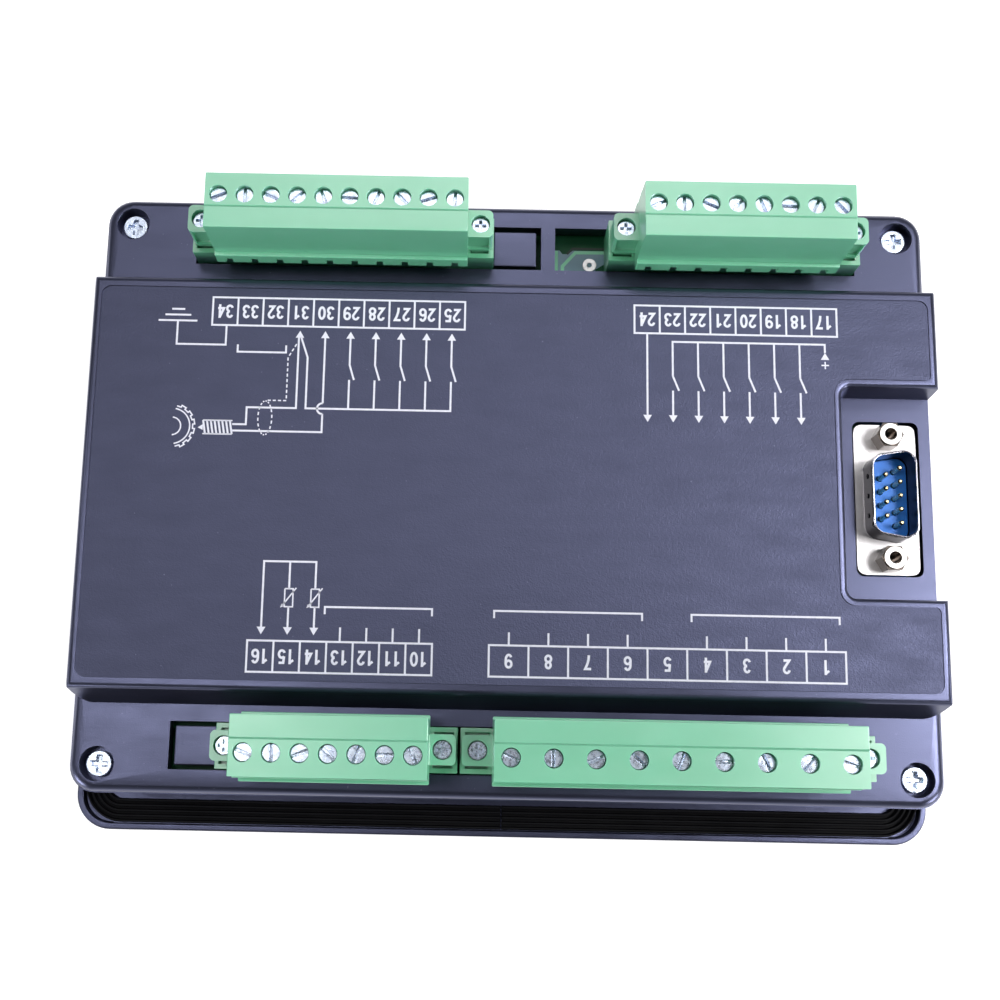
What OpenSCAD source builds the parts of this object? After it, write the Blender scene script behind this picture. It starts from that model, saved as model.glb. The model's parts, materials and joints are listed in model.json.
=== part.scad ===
// Panel-mounted generator controller, lying face down.
// +X runs along the long side, +Z points to the rear, and the origin is the middle of the front rim.

/* [Bezel] */
// Width of the bezel along X
bezel_w = 185.6; // [184:0.2:200]
// Height of the bezel along Y
bezel_h = 139.2; // [137:0.2:154]
// Outer corner radius of the bezel
bezel_r = 7.6; // [6.6:0.2:10]
// Depth of the bezel from its front rim to its rear rim
bezel_depth = 6; // [5.4:0.2:8]
// Overhang of the bezel past the ledges, left and right
overhang_x = 7.7; // [7.4:0.1:12]
// Overhang of the bezel past the ledges along Y
overhang_y = 8.85; // [8.2:0.05:12]
// Thickness of the front plate
plate_t = 2.4; // [2:0.1:2.8]
// Height of the front rim over the front plate
front_lip = 1.2; // [1:0.1:1.5]
// Width of the front rim
front_rim_w = 3.2; // [2.4:0.2:5]
// Width of the rear rim round the gasket
rear_rim_w = 1.4; // [1:0.1:1.8]

/* [Gasket] */
// Pitch of the gasket ribs
rib_pitch = 1.1; // [1:0.05:1.6]
// Width of one gasket rib at its foot
rib_w = 0.65; // [0.55:0.05:0.9]
// Thickness of the gasket under its ribs
gasket_base = 0.8; // [0.6:0.1:1.2]
// Gap of the gasket's butt joint
joint_gap = 0.3; // [0.2:0.1:0.6]

/* [Housing] */
// Corner radius of the rear housing
body_r = 5; // [4:0.2:6]
// Depth from the bezel's rear rim to the top of the plateau
body_depth = 45; // [42:0.5:60]
// Height of the plateau over the ledges
plateau_rise = 7.7; // [6:0.1:9]
// Width of each ledge beside the plateau
ledge_w = 17.05; // [16.8:0.05:19]
// How far each long side of the plateau leans in over its height
plateau_lean = 2.3; // [1.6:0.1:2.8]
// Radius of the plateau's upper edges
plateau_r = 1.2; // [0.8:0.1:1.6]
// Radius of the plateau's upright corners
plateau_corner = 4; // [3:0.1:5]
// Wall thickness of the housing
wall_t = 2.2; // [1.8:0.1:2.6]
// Thickness of the ledges
ledge_t = 3.8; // [2.4:0.1:4]
// Radius of the ledge's outer edge
ledge_r = 1.4; // [0.8:0.1:1.6]
// How far each outer wall leans out from the ledge to the bezel
body_lean = 0.9; // [0.4:0.1:1.2]
// Width of the lip under the ledge's rounded edge
lip = 0.2; // [0.1:0.05:0.3]
// Distance of a case screw from each side of the housing
screw_inset = 5.3; // [4.8:0.1:6]
// Radius of a case screw's counterbore
counterbore_r = 3.4; // [3:0.1:3.6]

/* [Label] */
// Thickness of the label film
label_t = 0.25; // [0.2:0.05:0.4]
// Width of the plateau's border left and right of the label
label_side = 1.8; // [1.4:0.1:3]
// Width of the flat border along the label's long edges
label_edge = 1; // [0.5:0.1:2]
// Corner radius of the label
label_r = 2; // [1:0.2:3]

/* [Boards] */
// Height of the ledge over the main board
board_drop = 4.8; // [4.4:0.1:5.4]
// Thickness of both boards
board_t = 1.6; // [1.2:0.2:2]
// Distance of the connector rows from the housing's long sides
row_inset = 9.15; // [8.8:0.05:9.8]

/* [Terminals] */
// Pole pitch of the three signal blocks
signal_pitch = 5.08; // [5:0.01:5.1]
// Pole pitch of the voltage block
voltage_pitch = 7.62; // [7.5:0.01:7.64]
// Number of poles of the sensor block
sensor_poles = 7; // [4:1:8]
// Distance of the far slots from the housing's left side
far_left = 18.9; // [17:0.1:21]
// Distance of the far slots from the housing's right side
far_right = 14.2; // [13:0.1:16]
// Distance of the near slot from the housing's left side
near_left = 19.2; // [17:0.1:21]
// Distance of the near slot from the housing's right side
near_right = 14.6; // [13:0.1:16]
// Middle of the bar between the two far slots along X
bar_x = 7.1; // [5:0.1:9]
// Width of the bar between the two far slots
bar_w = 2.9; // [2:0.1:4]
// Width of a board header across its row
header_w = 8.6; // [8.2:0.1:9]
// Height of a board header
header_h = 10.7; // [10:0.1:12]
// Height of a plug block over its header
plug_h = 17.9; // [17:0.1:20]
// Height of the skirt round a plug's foot
skirt_h = 3.9; // [3:0.1:4.4]
// Height of a plug's flange ears over the header
ear_h = 7.6; // [6.4:0.1:9]
// Diameter of a terminal screw's head
screw_d = 3.25; // [2.8:0.05:3.3]

/* [Serial port] */
// Distance of the port's middle from the housing's right side
port_inset = 9.1; // [8.9:0.1:9.6]
// Size of the recess along Y
recess_h = 42.4; // [40:0.2:44]
// Radius of the recess's upper edges
recess_edge = 0.8; // [0.4:0.1:1]
// How far the recess's walls lean in towards its floor
recess_lean = 0.5; // [0.2:0.1:1]
// Distance of the recess's left wall from the port's middle
recess_margin = 10.6; // [9.6:0.1:12]
// Length of the port's flange
flange_l = 30.8; // [30.4:0.1:31.2]
// Width of the port's flange
flange_w = 12.55; // [12:0.05:12.8]
// Length of the D-shaped shell
shell_l = 17.8; // [16.8:0.1:18]
// Width of the D-shaped shell
shell_w = 9.1; // [8.4:0.1:9.2]
// Height of the shell over its flange
shell_h = 6.5; // [5.9:0.1:7]
// Distance between the two jackscrews
jack_span = 24.99; // [24.8:0.01:25.2]
// Radius of the jackscrews' threaded holes
jack_hole_r = 1.25; // [1.1:0.01:1.3]
// Height of a jackscrew over the flange
jack_h = 4.9; // [4.6:0.1:6]

/* [Front] */
// Width of the display window
window_w = 92; // [84:1:96]
// Height of the display window
window_h = 50; // [44:1:52]
// Radius of a push key
key_r = 6.5; // [5.5:0.1:7]
// Travel of a push key
key_travel = 0.6; // [0.3:0.1:0.8]
// Pitch of the lower row of keys
key_pitch = 28; // [24:0.5:29]
// Distance of the lower row of keys from the bezel's edge
key_row_inset = 25.4; // [22:0.2:28]
// Distance of the side keys from the bezel's edge
key_side_inset = 34.7; // [30:0.2:36]

/* [Hidden] */

// Smoothness of round faces, and of those that are blended together
$fn = 48;
blend_fn = 32;
// Overshoot of a cut, thickness of a blended section, and the usual clearances
cut = 1;
section = 0.02;
seat_gap = 0.3;
fit_gap = 0.15;
slide_gap = 0.1;

// Colours
black_plastic = "#25262e";
black_rubber = "#17181c";
film_black = "#2b2c35";
mint = "#93d3b4";
header_green = "#5fae88";
board_green = "#0d5c38";
zinc = "#c9cbd2";
tin = "#d9d6cf";
nickel = "#cfcac2";
brass_tone = "#c9a24a";
port_blue = "#1f5fd0";

// Heights
plate_rear = front_lip + plate_t;
plateau_z = bezel_depth + body_depth;
ledge_z = plateau_z - plateau_rise;
ledge_under = ledge_z - ledge_t;
roof_under = plateau_z - wall_t;
board_top = ledge_z - board_drop;
board_under = board_top - board_t;
header_top = board_top + header_h;
skirt_bottom = header_top + seat_gap;
skirt_top = skirt_bottom + skirt_h;
plug_top = skirt_bottom + plug_h;
ear_top = skirt_bottom + ear_h;

// Outlines
body_w = bezel_w - 2 * overhang_x;
body_h = bezel_h - 2 * overhang_y;
plateau_h = body_h - 2 * ledge_w;
row_y = body_h / 2 - row_inset;
base_w = body_w + 2 * body_lean;
base_h = body_h + 2 * body_lean;
base_r = body_r + body_lean;
cavity_w = body_w - 2 * wall_t;
cavity_h = body_h - 2 * wall_t;
cavity_r = body_r - 2;
end_step = 0.1;
plateau_w = body_w - 2 * end_step;
lip_drop = 0.2;
lip_z = ledge_z - ledge_r - lip_drop;
plateau_top_h = plateau_h - 2 * plateau_lean - 2 * plateau_r;

// Gasket: it lies along the rim and is as wide as the narrower margin between rim and housing
gasket_gap = 0.15;
margin_x = (bezel_w - base_w) / 2 - rear_rim_w;
margin_y = (bezel_h - base_h) / 2 - rear_rim_w;
gasket_w = min(margin_x, margin_y) - 2 * gasket_gap;
gasket_out = 2 * (rear_rim_w + gasket_gap + gasket_w);
gasket_in_w = bezel_w - gasket_out;
gasket_in_h = bezel_h - gasket_out;
gasket_in_r = 3;
rib_count = floor((gasket_w - rib_w) / rib_pitch) + 1;
rib_top = bezel_depth - 0.2;

// Case screws
screw_x = body_w / 2 - screw_inset;
screw_y = body_h / 2 - screw_inset;
screw_sink = 2;
case_head_r = 2.5;
case_head_h = 2.2;
case_shank_r = 1.45;
case_seat = ledge_z - screw_sink - case_head_h;
boss_r = 4.4;
post_h = 14;
thread_base = 4.4;
post_top = plate_rear + post_h;
screw_end = plate_rear + thread_base;
case_recess = [3.2, 1.2];

// Main board
board_edge = 1.2;
board_w = cavity_w - 2 * board_edge;
board_h = cavity_h - 2 * board_edge;
board_post_r = 2.8;
board_post_out = -0.2;
board_post_in = 4;
board_post_y = plateau_h / 2 + board_post_out;
board_post_x = [-screw_x + board_post_in, 0, screw_x - board_post_in];
board_boss_gap = 0.8;
board_screw_r = 1.2;
board_screw_l = 4;
board_head_r = 2.3;
board_head_h = 1.8;
board_recess = [2.4, 1];
board_screw_gap = 0.6;
panel_screw_l = 6;

// Parts under the main board
relay = [15.5, 19, 15.3];
relay_count = 6;
relay_pitch = 17.5;
relay_margin = 6.1;
relay_drop = 23.5;
coil = [12.5, 19, 16];
coil_count = 3;
coil_pitch = 16;
coil_margin = 25.1;
coil_drop = 3.5;
coil_hole_r = 3;
cap_r = 5;
cap_l = 15;
cap_count = 3;
cap_pitch = 16;
cap_margin = 23.1;
cap_y = -2;
chip = [14, 14, 1.4];
chip_count = 2;
chip_pitch = 22;
chip_y = -25;

// Slots in the ledges
slot_gap = 0.35;
slot_w = header_w + 2 * slot_gap;
input_slot = [far_left - body_w / 2, bar_x - bar_w / 2];
output_slot = [bar_x + bar_w / 2, body_w / 2 - far_right];
near_slot = [near_left - body_w / 2, body_w / 2 - near_right];
function span(slot) = slot[1] - slot[0];

// Terminal blocks: poles, pitch, middle along X, side of the row, end margin, ear length.
// The input, output and voltage blocks have as many poles as their slots take.
signal_end = 2.6;
signal_ear = 5;
voltage_end = 3.05;
voltage_ear = 5.8;
header_over = 0.3;
header_gap = 0.5;
spare_min = 7;
function run_l(n, pitch, end, ear) = (n - 1) * pitch + 2 * (end + ear + header_over);
function fit_poles(room, pitch, end, ear) =
    1 + floor((room - spare_min - slot_gap - run_l(1, pitch, end, ear)) / pitch);
function poles(b) = b[0];
function mid(b) = b[2];
function side(b) = b[3];
function ear_l(b) = b[5];
function block_l(b) = (poles(b) - 1) * b[1] + 2 * b[4];
function pole_x(b, i) = mid(b) + (i - (poles(b) - 1) / 2) * b[1];
function header_l(b) = run_l(b[0], b[1], b[4], b[5]);
function header_lo(b) = mid(b) - header_l(b) / 2;
function header_hi(b) = mid(b) + header_l(b) / 2;
function ear_x(b, s) = mid(b) + s * (block_l(b) + ear_l(b)) / 2;
input_poles = fit_poles(span(input_slot), signal_pitch, signal_end, signal_ear);
output_poles = fit_poles(span(output_slot), signal_pitch, signal_end, signal_ear);
sensor_l = run_l(sensor_poles, signal_pitch, signal_end, signal_ear);
voltage_poles = fit_poles(span(near_slot) - sensor_l - header_gap, voltage_pitch, voltage_end, voltage_ear);
inputs = [input_poles, signal_pitch,
    input_slot[0] + slot_gap + run_l(input_poles, signal_pitch, signal_end, signal_ear) / 2,
    1, signal_end, signal_ear];
outputs = [output_poles, signal_pitch,
    output_slot[1] - slot_gap - run_l(output_poles, signal_pitch, signal_end, signal_ear) / 2,
    1, signal_end, signal_ear];
voltages = [voltage_poles, voltage_pitch,
    near_slot[1] - slot_gap - run_l(voltage_poles, voltage_pitch, voltage_end, voltage_ear) / 2,
    -1, voltage_end, voltage_ear];
sensors = [sensor_poles, signal_pitch, header_lo(voltages) - header_gap - sensor_l / 2,
    -1, signal_end, signal_ear];
blocks = [inputs, outputs, sensors, voltages];

// Blanking blocks in the unused slot ends
blank_gap = 1;
blank_side = 0.5;
blank_drop = 0.4;
blank_w = header_w - 2 * blank_side;
blank_top = ledge_z - blank_drop;

// Eyelet on the main board, in the open end of the output slot
eyelet_out = 3.05;
eyelet_in = 1.7;
eyelet_x = header_lo(outputs) - eyelet_out;
eyelet_y = row_y - eyelet_in;
eyelet_r = 1.45;
eyelet_hole_r = 0.5;
eyelet_barrel_r = 0.8;
eyelet_t = 0.25;
pin_hole_r = 0.8;

// Header and plug sections, measured from the row's middle and outward
header_wall = 0.9;
header_floor = 2;
ear_pocket = 2;
plug_inner = 5.6;
plug_outer = 5.45;
skirt_inner = 6.4;
skirt_outer = 6.5;
face_step = 0.3;
face_step_drop = 6.2;
face_step_z = plug_top - face_step_drop;
groove_y = -1.3;
groove_d = 0.2;
screw_line = 1.2;
ear_w = 5.65;
ear_r = 1;
ear_wall = 0.7;
ear_roof = 0.6;
ear_cut = 0.7;
insert_w = header_w - 2 * header_wall - 2 * fit_gap;
insert_end = 0.3;
insert_bottom = board_top + header_floor + seat_gap;
notch_w = 1.3;
notch_h = 2;
notch_d = 0.9;

// Clamps, contacts and pins inside a plug
pin_w = 1;
pin_top = header_top - 2.5;
pin_tail = 1.5;
shaft_w = 2.2;
contact_w = shaft_w - 2 * slide_gap;
cage_w = 3.5;
cage_d = 5;
cage_h = 6.4;
cage_wall = 0.6;
cage_roof = 1.3;
cage_bottom = skirt_top + 0.8;
cage_top = cage_bottom + cage_h;
entry_w = 3.6;
entry_h = 3.8;
head_sink = 1.1;
head_h = 2;
head_slot = 0.5;
head_slot_d = 0.8;
shank_r = 1.2;
screw_hole_r = screw_d / 2 + 0.13;
flange_sink = 1.2;
flange_screw_l = 13;
flange_recess = [2.3, 1];

// Serial port
port_x = body_w / 2 - port_inset;
recess_x = port_x - recess_margin;
port_floor_gap = 0.45;
flange_t = 0.8;
flange_top = ledge_z - 0.8;
flange_r = 1.5;
shell_t = 0.45;
shell_r = 2.6;
shell_lean = 10;
dimple_r = 0.45;
dimple_out = 0.15;
dimple_pitch = 4;
pin_rise = 5.4;
port_body_w = 8.2;
pin_pitch = 2.77;
pin_columns = 2.84;
port_pin_r = 0.5;
jack_flats = 4.75;
jack_stud_r = 1.42;
jack_stud_l = 3;
recess_r = 2;
notch_margin = 1.5;
notch_corner = 1.2;

// Front: keys, lamps and display, with the device's upper edge towards -Y
key_row_y = bezel_h / 2 - key_row_inset;
key_side_x = bezel_w / 2 - key_side_inset;
side_key_pitch = 26;
window_shift = -14;
window_inset = 53.4;
window_at = [window_shift, window_inset - bezel_h / 2];
key_spots = [
    [-2 * key_pitch, key_row_y], [-key_pitch, key_row_y], [0, key_row_y], [key_pitch, key_row_y],
    [2 * key_pitch, key_row_y], [key_side_x, window_at[1] - side_key_pitch / 2],
    [key_side_x, window_at[1] + side_key_pitch / 2]
];
key_gap = 0.3;
key_flange = 1;
key_flange_t = 1;
key_face = 0.4;
stem_r = 2;
overlay_t = 0.4;
overlay_gap = 0.25;
window_r = 2;
window_flange = 1.5;
window_flange_t = 0.8;
lcd_border = 6;
lcd_w = window_w + 2 * lcd_border;
lcd_h = window_h + 2 * lcd_border;
lcd_lip = 2;
glass_inset = 1.5;
glass_drop = 0.6;
glass_t = 2.2;
lcd_t = 7;
lcd_front = plate_rear + window_flange_t;
panel_board_z = lcd_front + lcd_t;
panel_board_in = [7.3, 4.3];
panel_board_w = cavity_w - 2 * panel_board_in[0];
panel_board_h = cavity_h - 2 * panel_board_in[1];
panel_post_in = [3.5, 3];
panel_post = [panel_board_w / 2 - panel_post_in[0], panel_board_h / 2 - panel_post_in[1]];
panel_post_r = 2.6;
switch_w = 6;
switch_h = 3.5;
plunger_r = 1.7;
plunger_h = 0.9;
press_gap = 0.2;
stem_end = panel_board_z - switch_h - plunger_h - key_travel - press_gap;
lamp_pitch = 20;
lamp_x = [for (i = [-2.5 : 2.5]) i * lamp_pitch];
window_foot = window_at[1] + window_h / 2 + window_flange;
key_head = key_row_y - key_r - key_gap - key_flange;
lamp_y = (window_foot + key_head) / 2;
lamp_r = 1.5;
lamp_flange_r = 2.2;
led_h = 1.2;
link_at = [47, -5];
link_w = 6;
link_l = 26;
link_pins = 10;
link_pitch = 2.54;
link_socket_h = 8.5;
link_split = panel_board_z + board_t + link_socket_h;
link_pin_l = 5;
link_pin_w = 0.64;

// Shared shapes

module rounded(w, h, r) {
    square([w - 2 * r, h], center = true);
    square([w, h - 2 * r], center = true);
    for (x = [-1, 1], y = [-1, 1])
        translate([x * (w / 2 - r), y * (h / 2 - r)])
            circle(r);
}

module slab(w, h, r, z, t = section) {
    translate([0, 0, z])
        linear_extrude(t)
            rounded(w, h, r);
}

// Sweeps a profile round a rounded rectangle: the profile's x points outward and its y points up
module ring_sweep(w, h, r) {
    for (turn = [0, 180])
        rotate([0, 0, turn]) {
            translate([-(w / 2 - r), h / 2, 0])
                rotate([90, 0, 90])
                    linear_extrude(w - 2 * r)
                        children();
            translate([w / 2, h / 2 - r, 0])
                rotate([90, 0, 0])
                    linear_extrude(h - 2 * r)
                        children();
            translate([w / 2 - r, h / 2 - r, 0])
                rotate_extrude(angle = 90)
                    translate([r, 0])
                        children();
            translate([-(w / 2 - r), h / 2 - r, 0])
                rotate([0, 0, 90])
                    rotate_extrude(angle = 90)
                        translate([r, 0])
                            children();
        }
}

module at_corners(x, y) {
    for (sx = [-1, 1], sy = [-1, 1])
        translate([sx * x, sy * y, 0])
            children();
}

// Puts a terminal block's parts on its row, with +Y pointing outward
module on_row(b) {
    if (side(b) > 0)
        translate([0, row_y, 0])
            children();
    else
        mirror([0, 1, 0])
            translate([0, row_y, 0])
                children();
}

module block(lo, hi) {
    translate(lo)
        cube(hi - lo);
}

module cross_recess(w, d) {
    for (turn = [0, 90])
        rotate([0, 0, turn])
            translate([-w / 2, -w / 7, -d])
                cube([w, w / 3.5, d + cut]);
}

// Front bezel

module front_bezel() {
    rim_chamfer = 0.5;
    color(black_plastic)
    difference() {
        union() {
            translate([0, 0, front_lip])
                linear_extrude(plate_t)
                    rounded(bezel_w - 2 * rear_rim_w, bezel_h - 2 * rear_rim_w, bezel_r - rear_rim_w);
            ring_sweep(bezel_w, bezel_h, bezel_r)
                polygon([
                    [-front_rim_w, 0], [-rim_chamfer, 0], [0, rim_chamfer], [0, bezel_depth],
                    [-rear_rim_w, bezel_depth], [-rear_rim_w, front_lip], [-front_rim_w, front_lip]
                ]);
            intersection() {
                at_corners(screw_x, screw_y)
                    cylinder_between(boss_r, plate_rear, post_top);
                translate([0, 0, plate_rear])
                    linear_extrude(post_top)
                        rounded(cavity_w - 2 * seat_gap, cavity_h - 2 * seat_gap, cavity_r);
            }
            at_corners(panel_post[0], panel_post[1])
                translate([0, 0, plate_rear])
                    cylinder(r = panel_post_r, h = panel_board_z - plate_rear);
        }
        at_corners(screw_x, screw_y)
            translate([0, 0, screw_end - 1])
                cylinder(r = case_shank_r + slide_gap, h = post_top);
        at_corners(panel_post[0], panel_post[1])
            translate([0, 0, plate_rear])
                cylinder(r = board_screw_r + slide_gap, h = panel_board_z);
        front_holes(front_lip - cut, plate_t + 2 * cut);
    }
}

module front_holes(z, t) {
    translate([window_at[0], window_at[1], z])
        linear_extrude(t)
            rounded(window_w, window_h, window_r);
    for (spot = key_spots)
        translate([spot[0], spot[1], z])
            cylinder(r = key_r + key_gap, h = t);
    for (x = lamp_x)
        translate([x, lamp_y, z])
            cylinder(r = lamp_r + slide_gap, h = t);
}

module panel_gasket() {
    color(black_rubber)
    difference() {
        ring_sweep(gasket_in_w, gasket_in_h, gasket_in_r) {
            union() {
                translate([0, plate_rear])
                    square([gasket_w, gasket_base]);
                for (i = [0 : rib_count - 1])
                    translate([rib_w / 2 + i * rib_pitch, plate_rear + gasket_base - section])
                        polygon([
                            [-rib_w / 2, 0], [rib_w / 2, 0],
                            [rib_w / 5, rib_top - plate_rear - gasket_base],
                            [-rib_w / 5, rib_top - plate_rear - gasket_base]
                        ]);
            }
        }
        translate([-joint_gap / 2, -bezel_h / 2, plate_rear - cut])
            cube([joint_gap, (bezel_h - body_h) / 2, bezel_depth]);
    }
}

module front_overlay() {
    color("#2f3644")
    difference() {
        translate([0, 0, front_lip - overlay_t])
            linear_extrude(overlay_t)
                rounded(bezel_w - 2 * (front_rim_w + overlay_gap), bezel_h - 2 * (front_rim_w + overlay_gap),
                    bezel_r - front_rim_w);
        front_holes(front_lip - overlay_t - cut, overlay_t + 2 * cut);
    }
}

module display_window() {
    color("lightsteelblue", 0.6)
    translate([window_at[0], window_at[1], 0]) {
        translate([0, 0, front_lip - overlay_t])
            linear_extrude(plate_t + overlay_t)
                rounded(window_w - 2 * slide_gap, window_h - 2 * slide_gap, window_r);
        translate([0, 0, plate_rear])
            linear_extrude(window_flange_t)
                rounded(window_w + 2 * window_flange, window_h + 2 * window_flange, window_r);
    }
}

// Display

module lcd_glass() {
    color("#9fb59a")
    translate([window_at[0], window_at[1], lcd_front + glass_drop])
        linear_extrude(glass_t)
            square([lcd_w - 2 * glass_inset, lcd_h - 2 * glass_inset], center = true);
}

module lcd_frame() {
    frame_t = 0.5;
    color(zinc)
    translate([window_at[0], window_at[1], lcd_front])
    difference() {
        linear_extrude(lcd_t)
            square([lcd_w, lcd_h], center = true);
        translate([0, 0, -cut])
            linear_extrude(frame_t + 2 * cut)
                square([window_w - 2 * lcd_lip, window_h - 2 * lcd_lip], center = true);
        translate([0, 0, frame_t])
            linear_extrude(lcd_t)
                square([lcd_w - 2 * frame_t, lcd_h - 2 * frame_t], center = true);
    }
}

module display_board() {
    color(board_green)
    difference() {
        translate([0, 0, panel_board_z])
            linear_extrude(board_t)
                square([panel_board_w, panel_board_h], center = true);
        at_corners(panel_post[0], panel_post[1])
            translate([0, 0, panel_board_z - cut])
                cylinder(r = board_screw_r + slide_gap, h = board_t + 2 * cut);
    }
}

module display_board_screws() {
    color(zinc)
    at_corners(panel_post[0], panel_post[1])
        translate([0, 0, panel_board_z + board_t])
            mirror([0, 0, 1])
                board_screw(panel_screw_l);
}

// A board screw with its head below the origin and its shank above it
module board_screw(l) {
    difference() {
        union() {
            translate([0, 0, -board_head_h])
                cylinder(r = board_head_r, h = board_head_h);
            cylinder(r = board_screw_r, h = l);
        }
        translate([0, 0, -board_head_h])
            mirror([0, 0, 1])
                cross_recess(board_recess[0], board_recess[1]);
    }
}

module status_leds() {
    color("palegreen")
    for (x = lamp_x)
        block([x - 1.5, lamp_y - 1, panel_board_z - led_h], [x + 1.5, lamp_y + 1, panel_board_z]);
}

module light_pipes() {
    color("honeydew")
    for (x = lamp_x)
        translate([x, lamp_y, 0]) {
            translate([0, 0, front_lip - overlay_t])
                cylinder(r = lamp_r, h = panel_board_z - led_h - seat_gap - front_lip + overlay_t);
            translate([0, 0, plate_rear])
                cylinder(r = lamp_flange_r, h = 1);
        }
}

module key_switches() {
    color("#3a3a3f")
    for (spot = key_spots)
        translate([spot[0], spot[1], panel_board_z]) {
            translate([-switch_w / 2, -switch_w / 2, -switch_h])
                cube([switch_w, switch_w, switch_h]);
            translate([0, 0, -switch_h - plunger_h])
                cylinder(r = plunger_r, h = plunger_h + cut);
        }
}

// A key cap with a dished face, held behind the plate by its flange
module push_key(spot) {
    dish_r = 40;
    dish = 0.3;
    translate([spot[0], spot[1], 0])
    difference() {
        union() {
            translate([0, 0, key_face])
                cylinder(r = key_r, h = plate_rear + seat_gap + key_flange_t - key_face);
            translate([0, 0, plate_rear + seat_gap])
                cylinder(r = key_r + key_gap + key_flange, h = key_flange_t);
            cylinder_between(stem_r, plate_rear, stem_end);
        }
        translate([0, 0, key_face + dish - dish_r])
            sphere(r = dish_r);
    }
}

module cylinder_between(r, lo, hi) {
    translate([0, 0, lo])
        cylinder(r = r, h = hi - lo);
}

module key_stop() { color("firebrick") push_key(key_spots[0]); }
module key_manual() { color("gainsboro") push_key(key_spots[1]); }
module key_auto() { color("gainsboro") push_key(key_spots[2]); }
module key_test() { color("gainsboro") push_key(key_spots[3]); }
module key_start() { color("seagreen") push_key(key_spots[4]); }
module key_up() { color("dimgray") push_key(key_spots[5]); }
module key_down() { color("dimgray") push_key(key_spots[6]); }

// Link between the boards

module link_socket() {
    color("#2a2a2e")
    difference() {
        translate([link_at[0], link_at[1], panel_board_z + board_t])
            linear_extrude(link_split - seat_gap - panel_board_z - board_t)
                square([link_w, link_l], center = true);
        link_rows(link_split - link_pin_l - 0.5, link_split, link_pin_w + 2 * slide_gap);
    }
}

module link_header() {
    color("#2a2a2e") {
        translate([link_at[0], link_at[1], link_split])
            linear_extrude(board_under - link_split)
                square([link_w, link_l], center = true);
        link_rows(link_split - link_pin_l, link_split + cut, link_pin_w);
    }
}

module link_rows(lo, hi, w) {
    for (row = [-0.5, 0.5], i = [0 : link_pins - 1])
        translate([link_at[0] + row * link_pitch, link_at[1] + (i - (link_pins - 1) / 2) * link_pitch, lo])
            linear_extrude(hi - lo)
                square(w, center = true);
}

// Rear housing

module rear_housing() {
    color(black_plastic)
    difference() {
        union() {
            difference() {
                union() {
                    housing_base();
                    plateau();
                }
                housing_cavity();
            }
            housing_bosses();
        }
        row_slots();
        recess();
        label_pocket();
        at_corners(screw_x, screw_y) {
            cylinder_between(counterbore_r, case_seat, ledge_z + cut);
            cylinder_between(case_shank_r + slide_gap, post_top - cut, case_seat + cut);
        }
        main_posts()
            cylinder_between(board_screw_r + slide_gap, board_top - cut, board_top + board_screw_l);
    }
}

// Leaning outer walls up to the lip, and the rounded edge of the ledge above it
module housing_base() {
    edge_steps = [0, 30, 60, 90];
    hull() {
        slab(base_w, base_h, base_r, plate_rear, $fn = blend_fn);
        slab(body_w + 2 * lip, body_h + 2 * lip, body_r + lip, lip_z - section, $fn = blend_fn);
    }
    hull() {
        slab(body_w, body_h, body_r, lip_z - cut, $fn = blend_fn);
        for (a = edge_steps) {
            inset = ledge_r * (1 - cos(a));
            slab(body_w - 2 * inset, body_h - 2 * inset, body_r - inset,
                ledge_z - ledge_r * (1 - sin(a)) - section, $fn = blend_fn);
        }
    }
}

// Raised middle: its cross-section, its side view and its rounded plan meet in one solid
module plateau() {
    intersection() {
        translate([-plateau_w / 2, 0, 0])
            rotate([90, 0, 90])
                linear_extrude(plateau_w)
                    plateau_section(plateau_h / 2, plateau_top_h / 2);
        translate([0, body_h / 2, 0])
            rotate([90, 0, 0])
                linear_extrude(body_h)
                    plateau_section(plateau_w / 2, plateau_w / 2 - plateau_r);
        translate([0, 0, ledge_under])
            linear_extrude(plateau_z)
                rounded(plateau_w, plateau_h, plateau_corner);
    }
}

// Outline with rounded upper edges, from half its foot and half its flat top
module plateau_section(foot, top) {
    edge_steps = [0 : 15 : 90];
    edge = [for (a = edge_steps)
        [top + plateau_r * cos(a), plateau_z - plateau_r * (1 - sin(a))]];
    half = concat([[foot, ledge_under], [foot, ledge_z]], edge);
    other = [for (i = [len(half) - 1 : -1 : 0]) [-half[i][0], half[i][1]]];
    polygon(concat(half, other));
}

module housing_cavity() {
    translate([0, 0, plate_rear - cut])
        linear_extrude(ledge_under - plate_rear + cut)
            rounded(cavity_w, cavity_h, cavity_r);
    difference() {
        translate([0, 0, ledge_under - cut])
            linear_extrude(roof_under - ledge_under + cut)
                square([plateau_w - 2 * wall_t, plateau_h - 2 * plateau_lean - 2 * wall_t], center = true);
        translate([recess_x - wall_t, -recess_h / 2 - wall_t, ledge_under])
            cube([body_w, recess_h + 2 * wall_t, plateau_z]);
    }
}

module housing_bosses() {
    at_corners(screw_x, screw_y)
        cylinder_between(boss_r, post_top + seat_gap, ledge_under + ledge_t / 2);
    main_posts()
        cylinder_between(board_post_r, board_top, ledge_under + ledge_t / 2);
}

module main_posts() {
    for (x = board_post_x, s = [-1, 1])
        translate([x, s * board_post_y, 0])
            children();
}

module row_slots() {
    slot_box(input_slot, row_y);
    slot_box(output_slot, row_y);
    slot_box(near_slot, -row_y);
}

module slot_box(span, y) {
    block([span[0], y - slot_w / 2, ledge_under - cut], [span[1], y + slot_w / 2, ledge_z + cut]);
}

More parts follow.
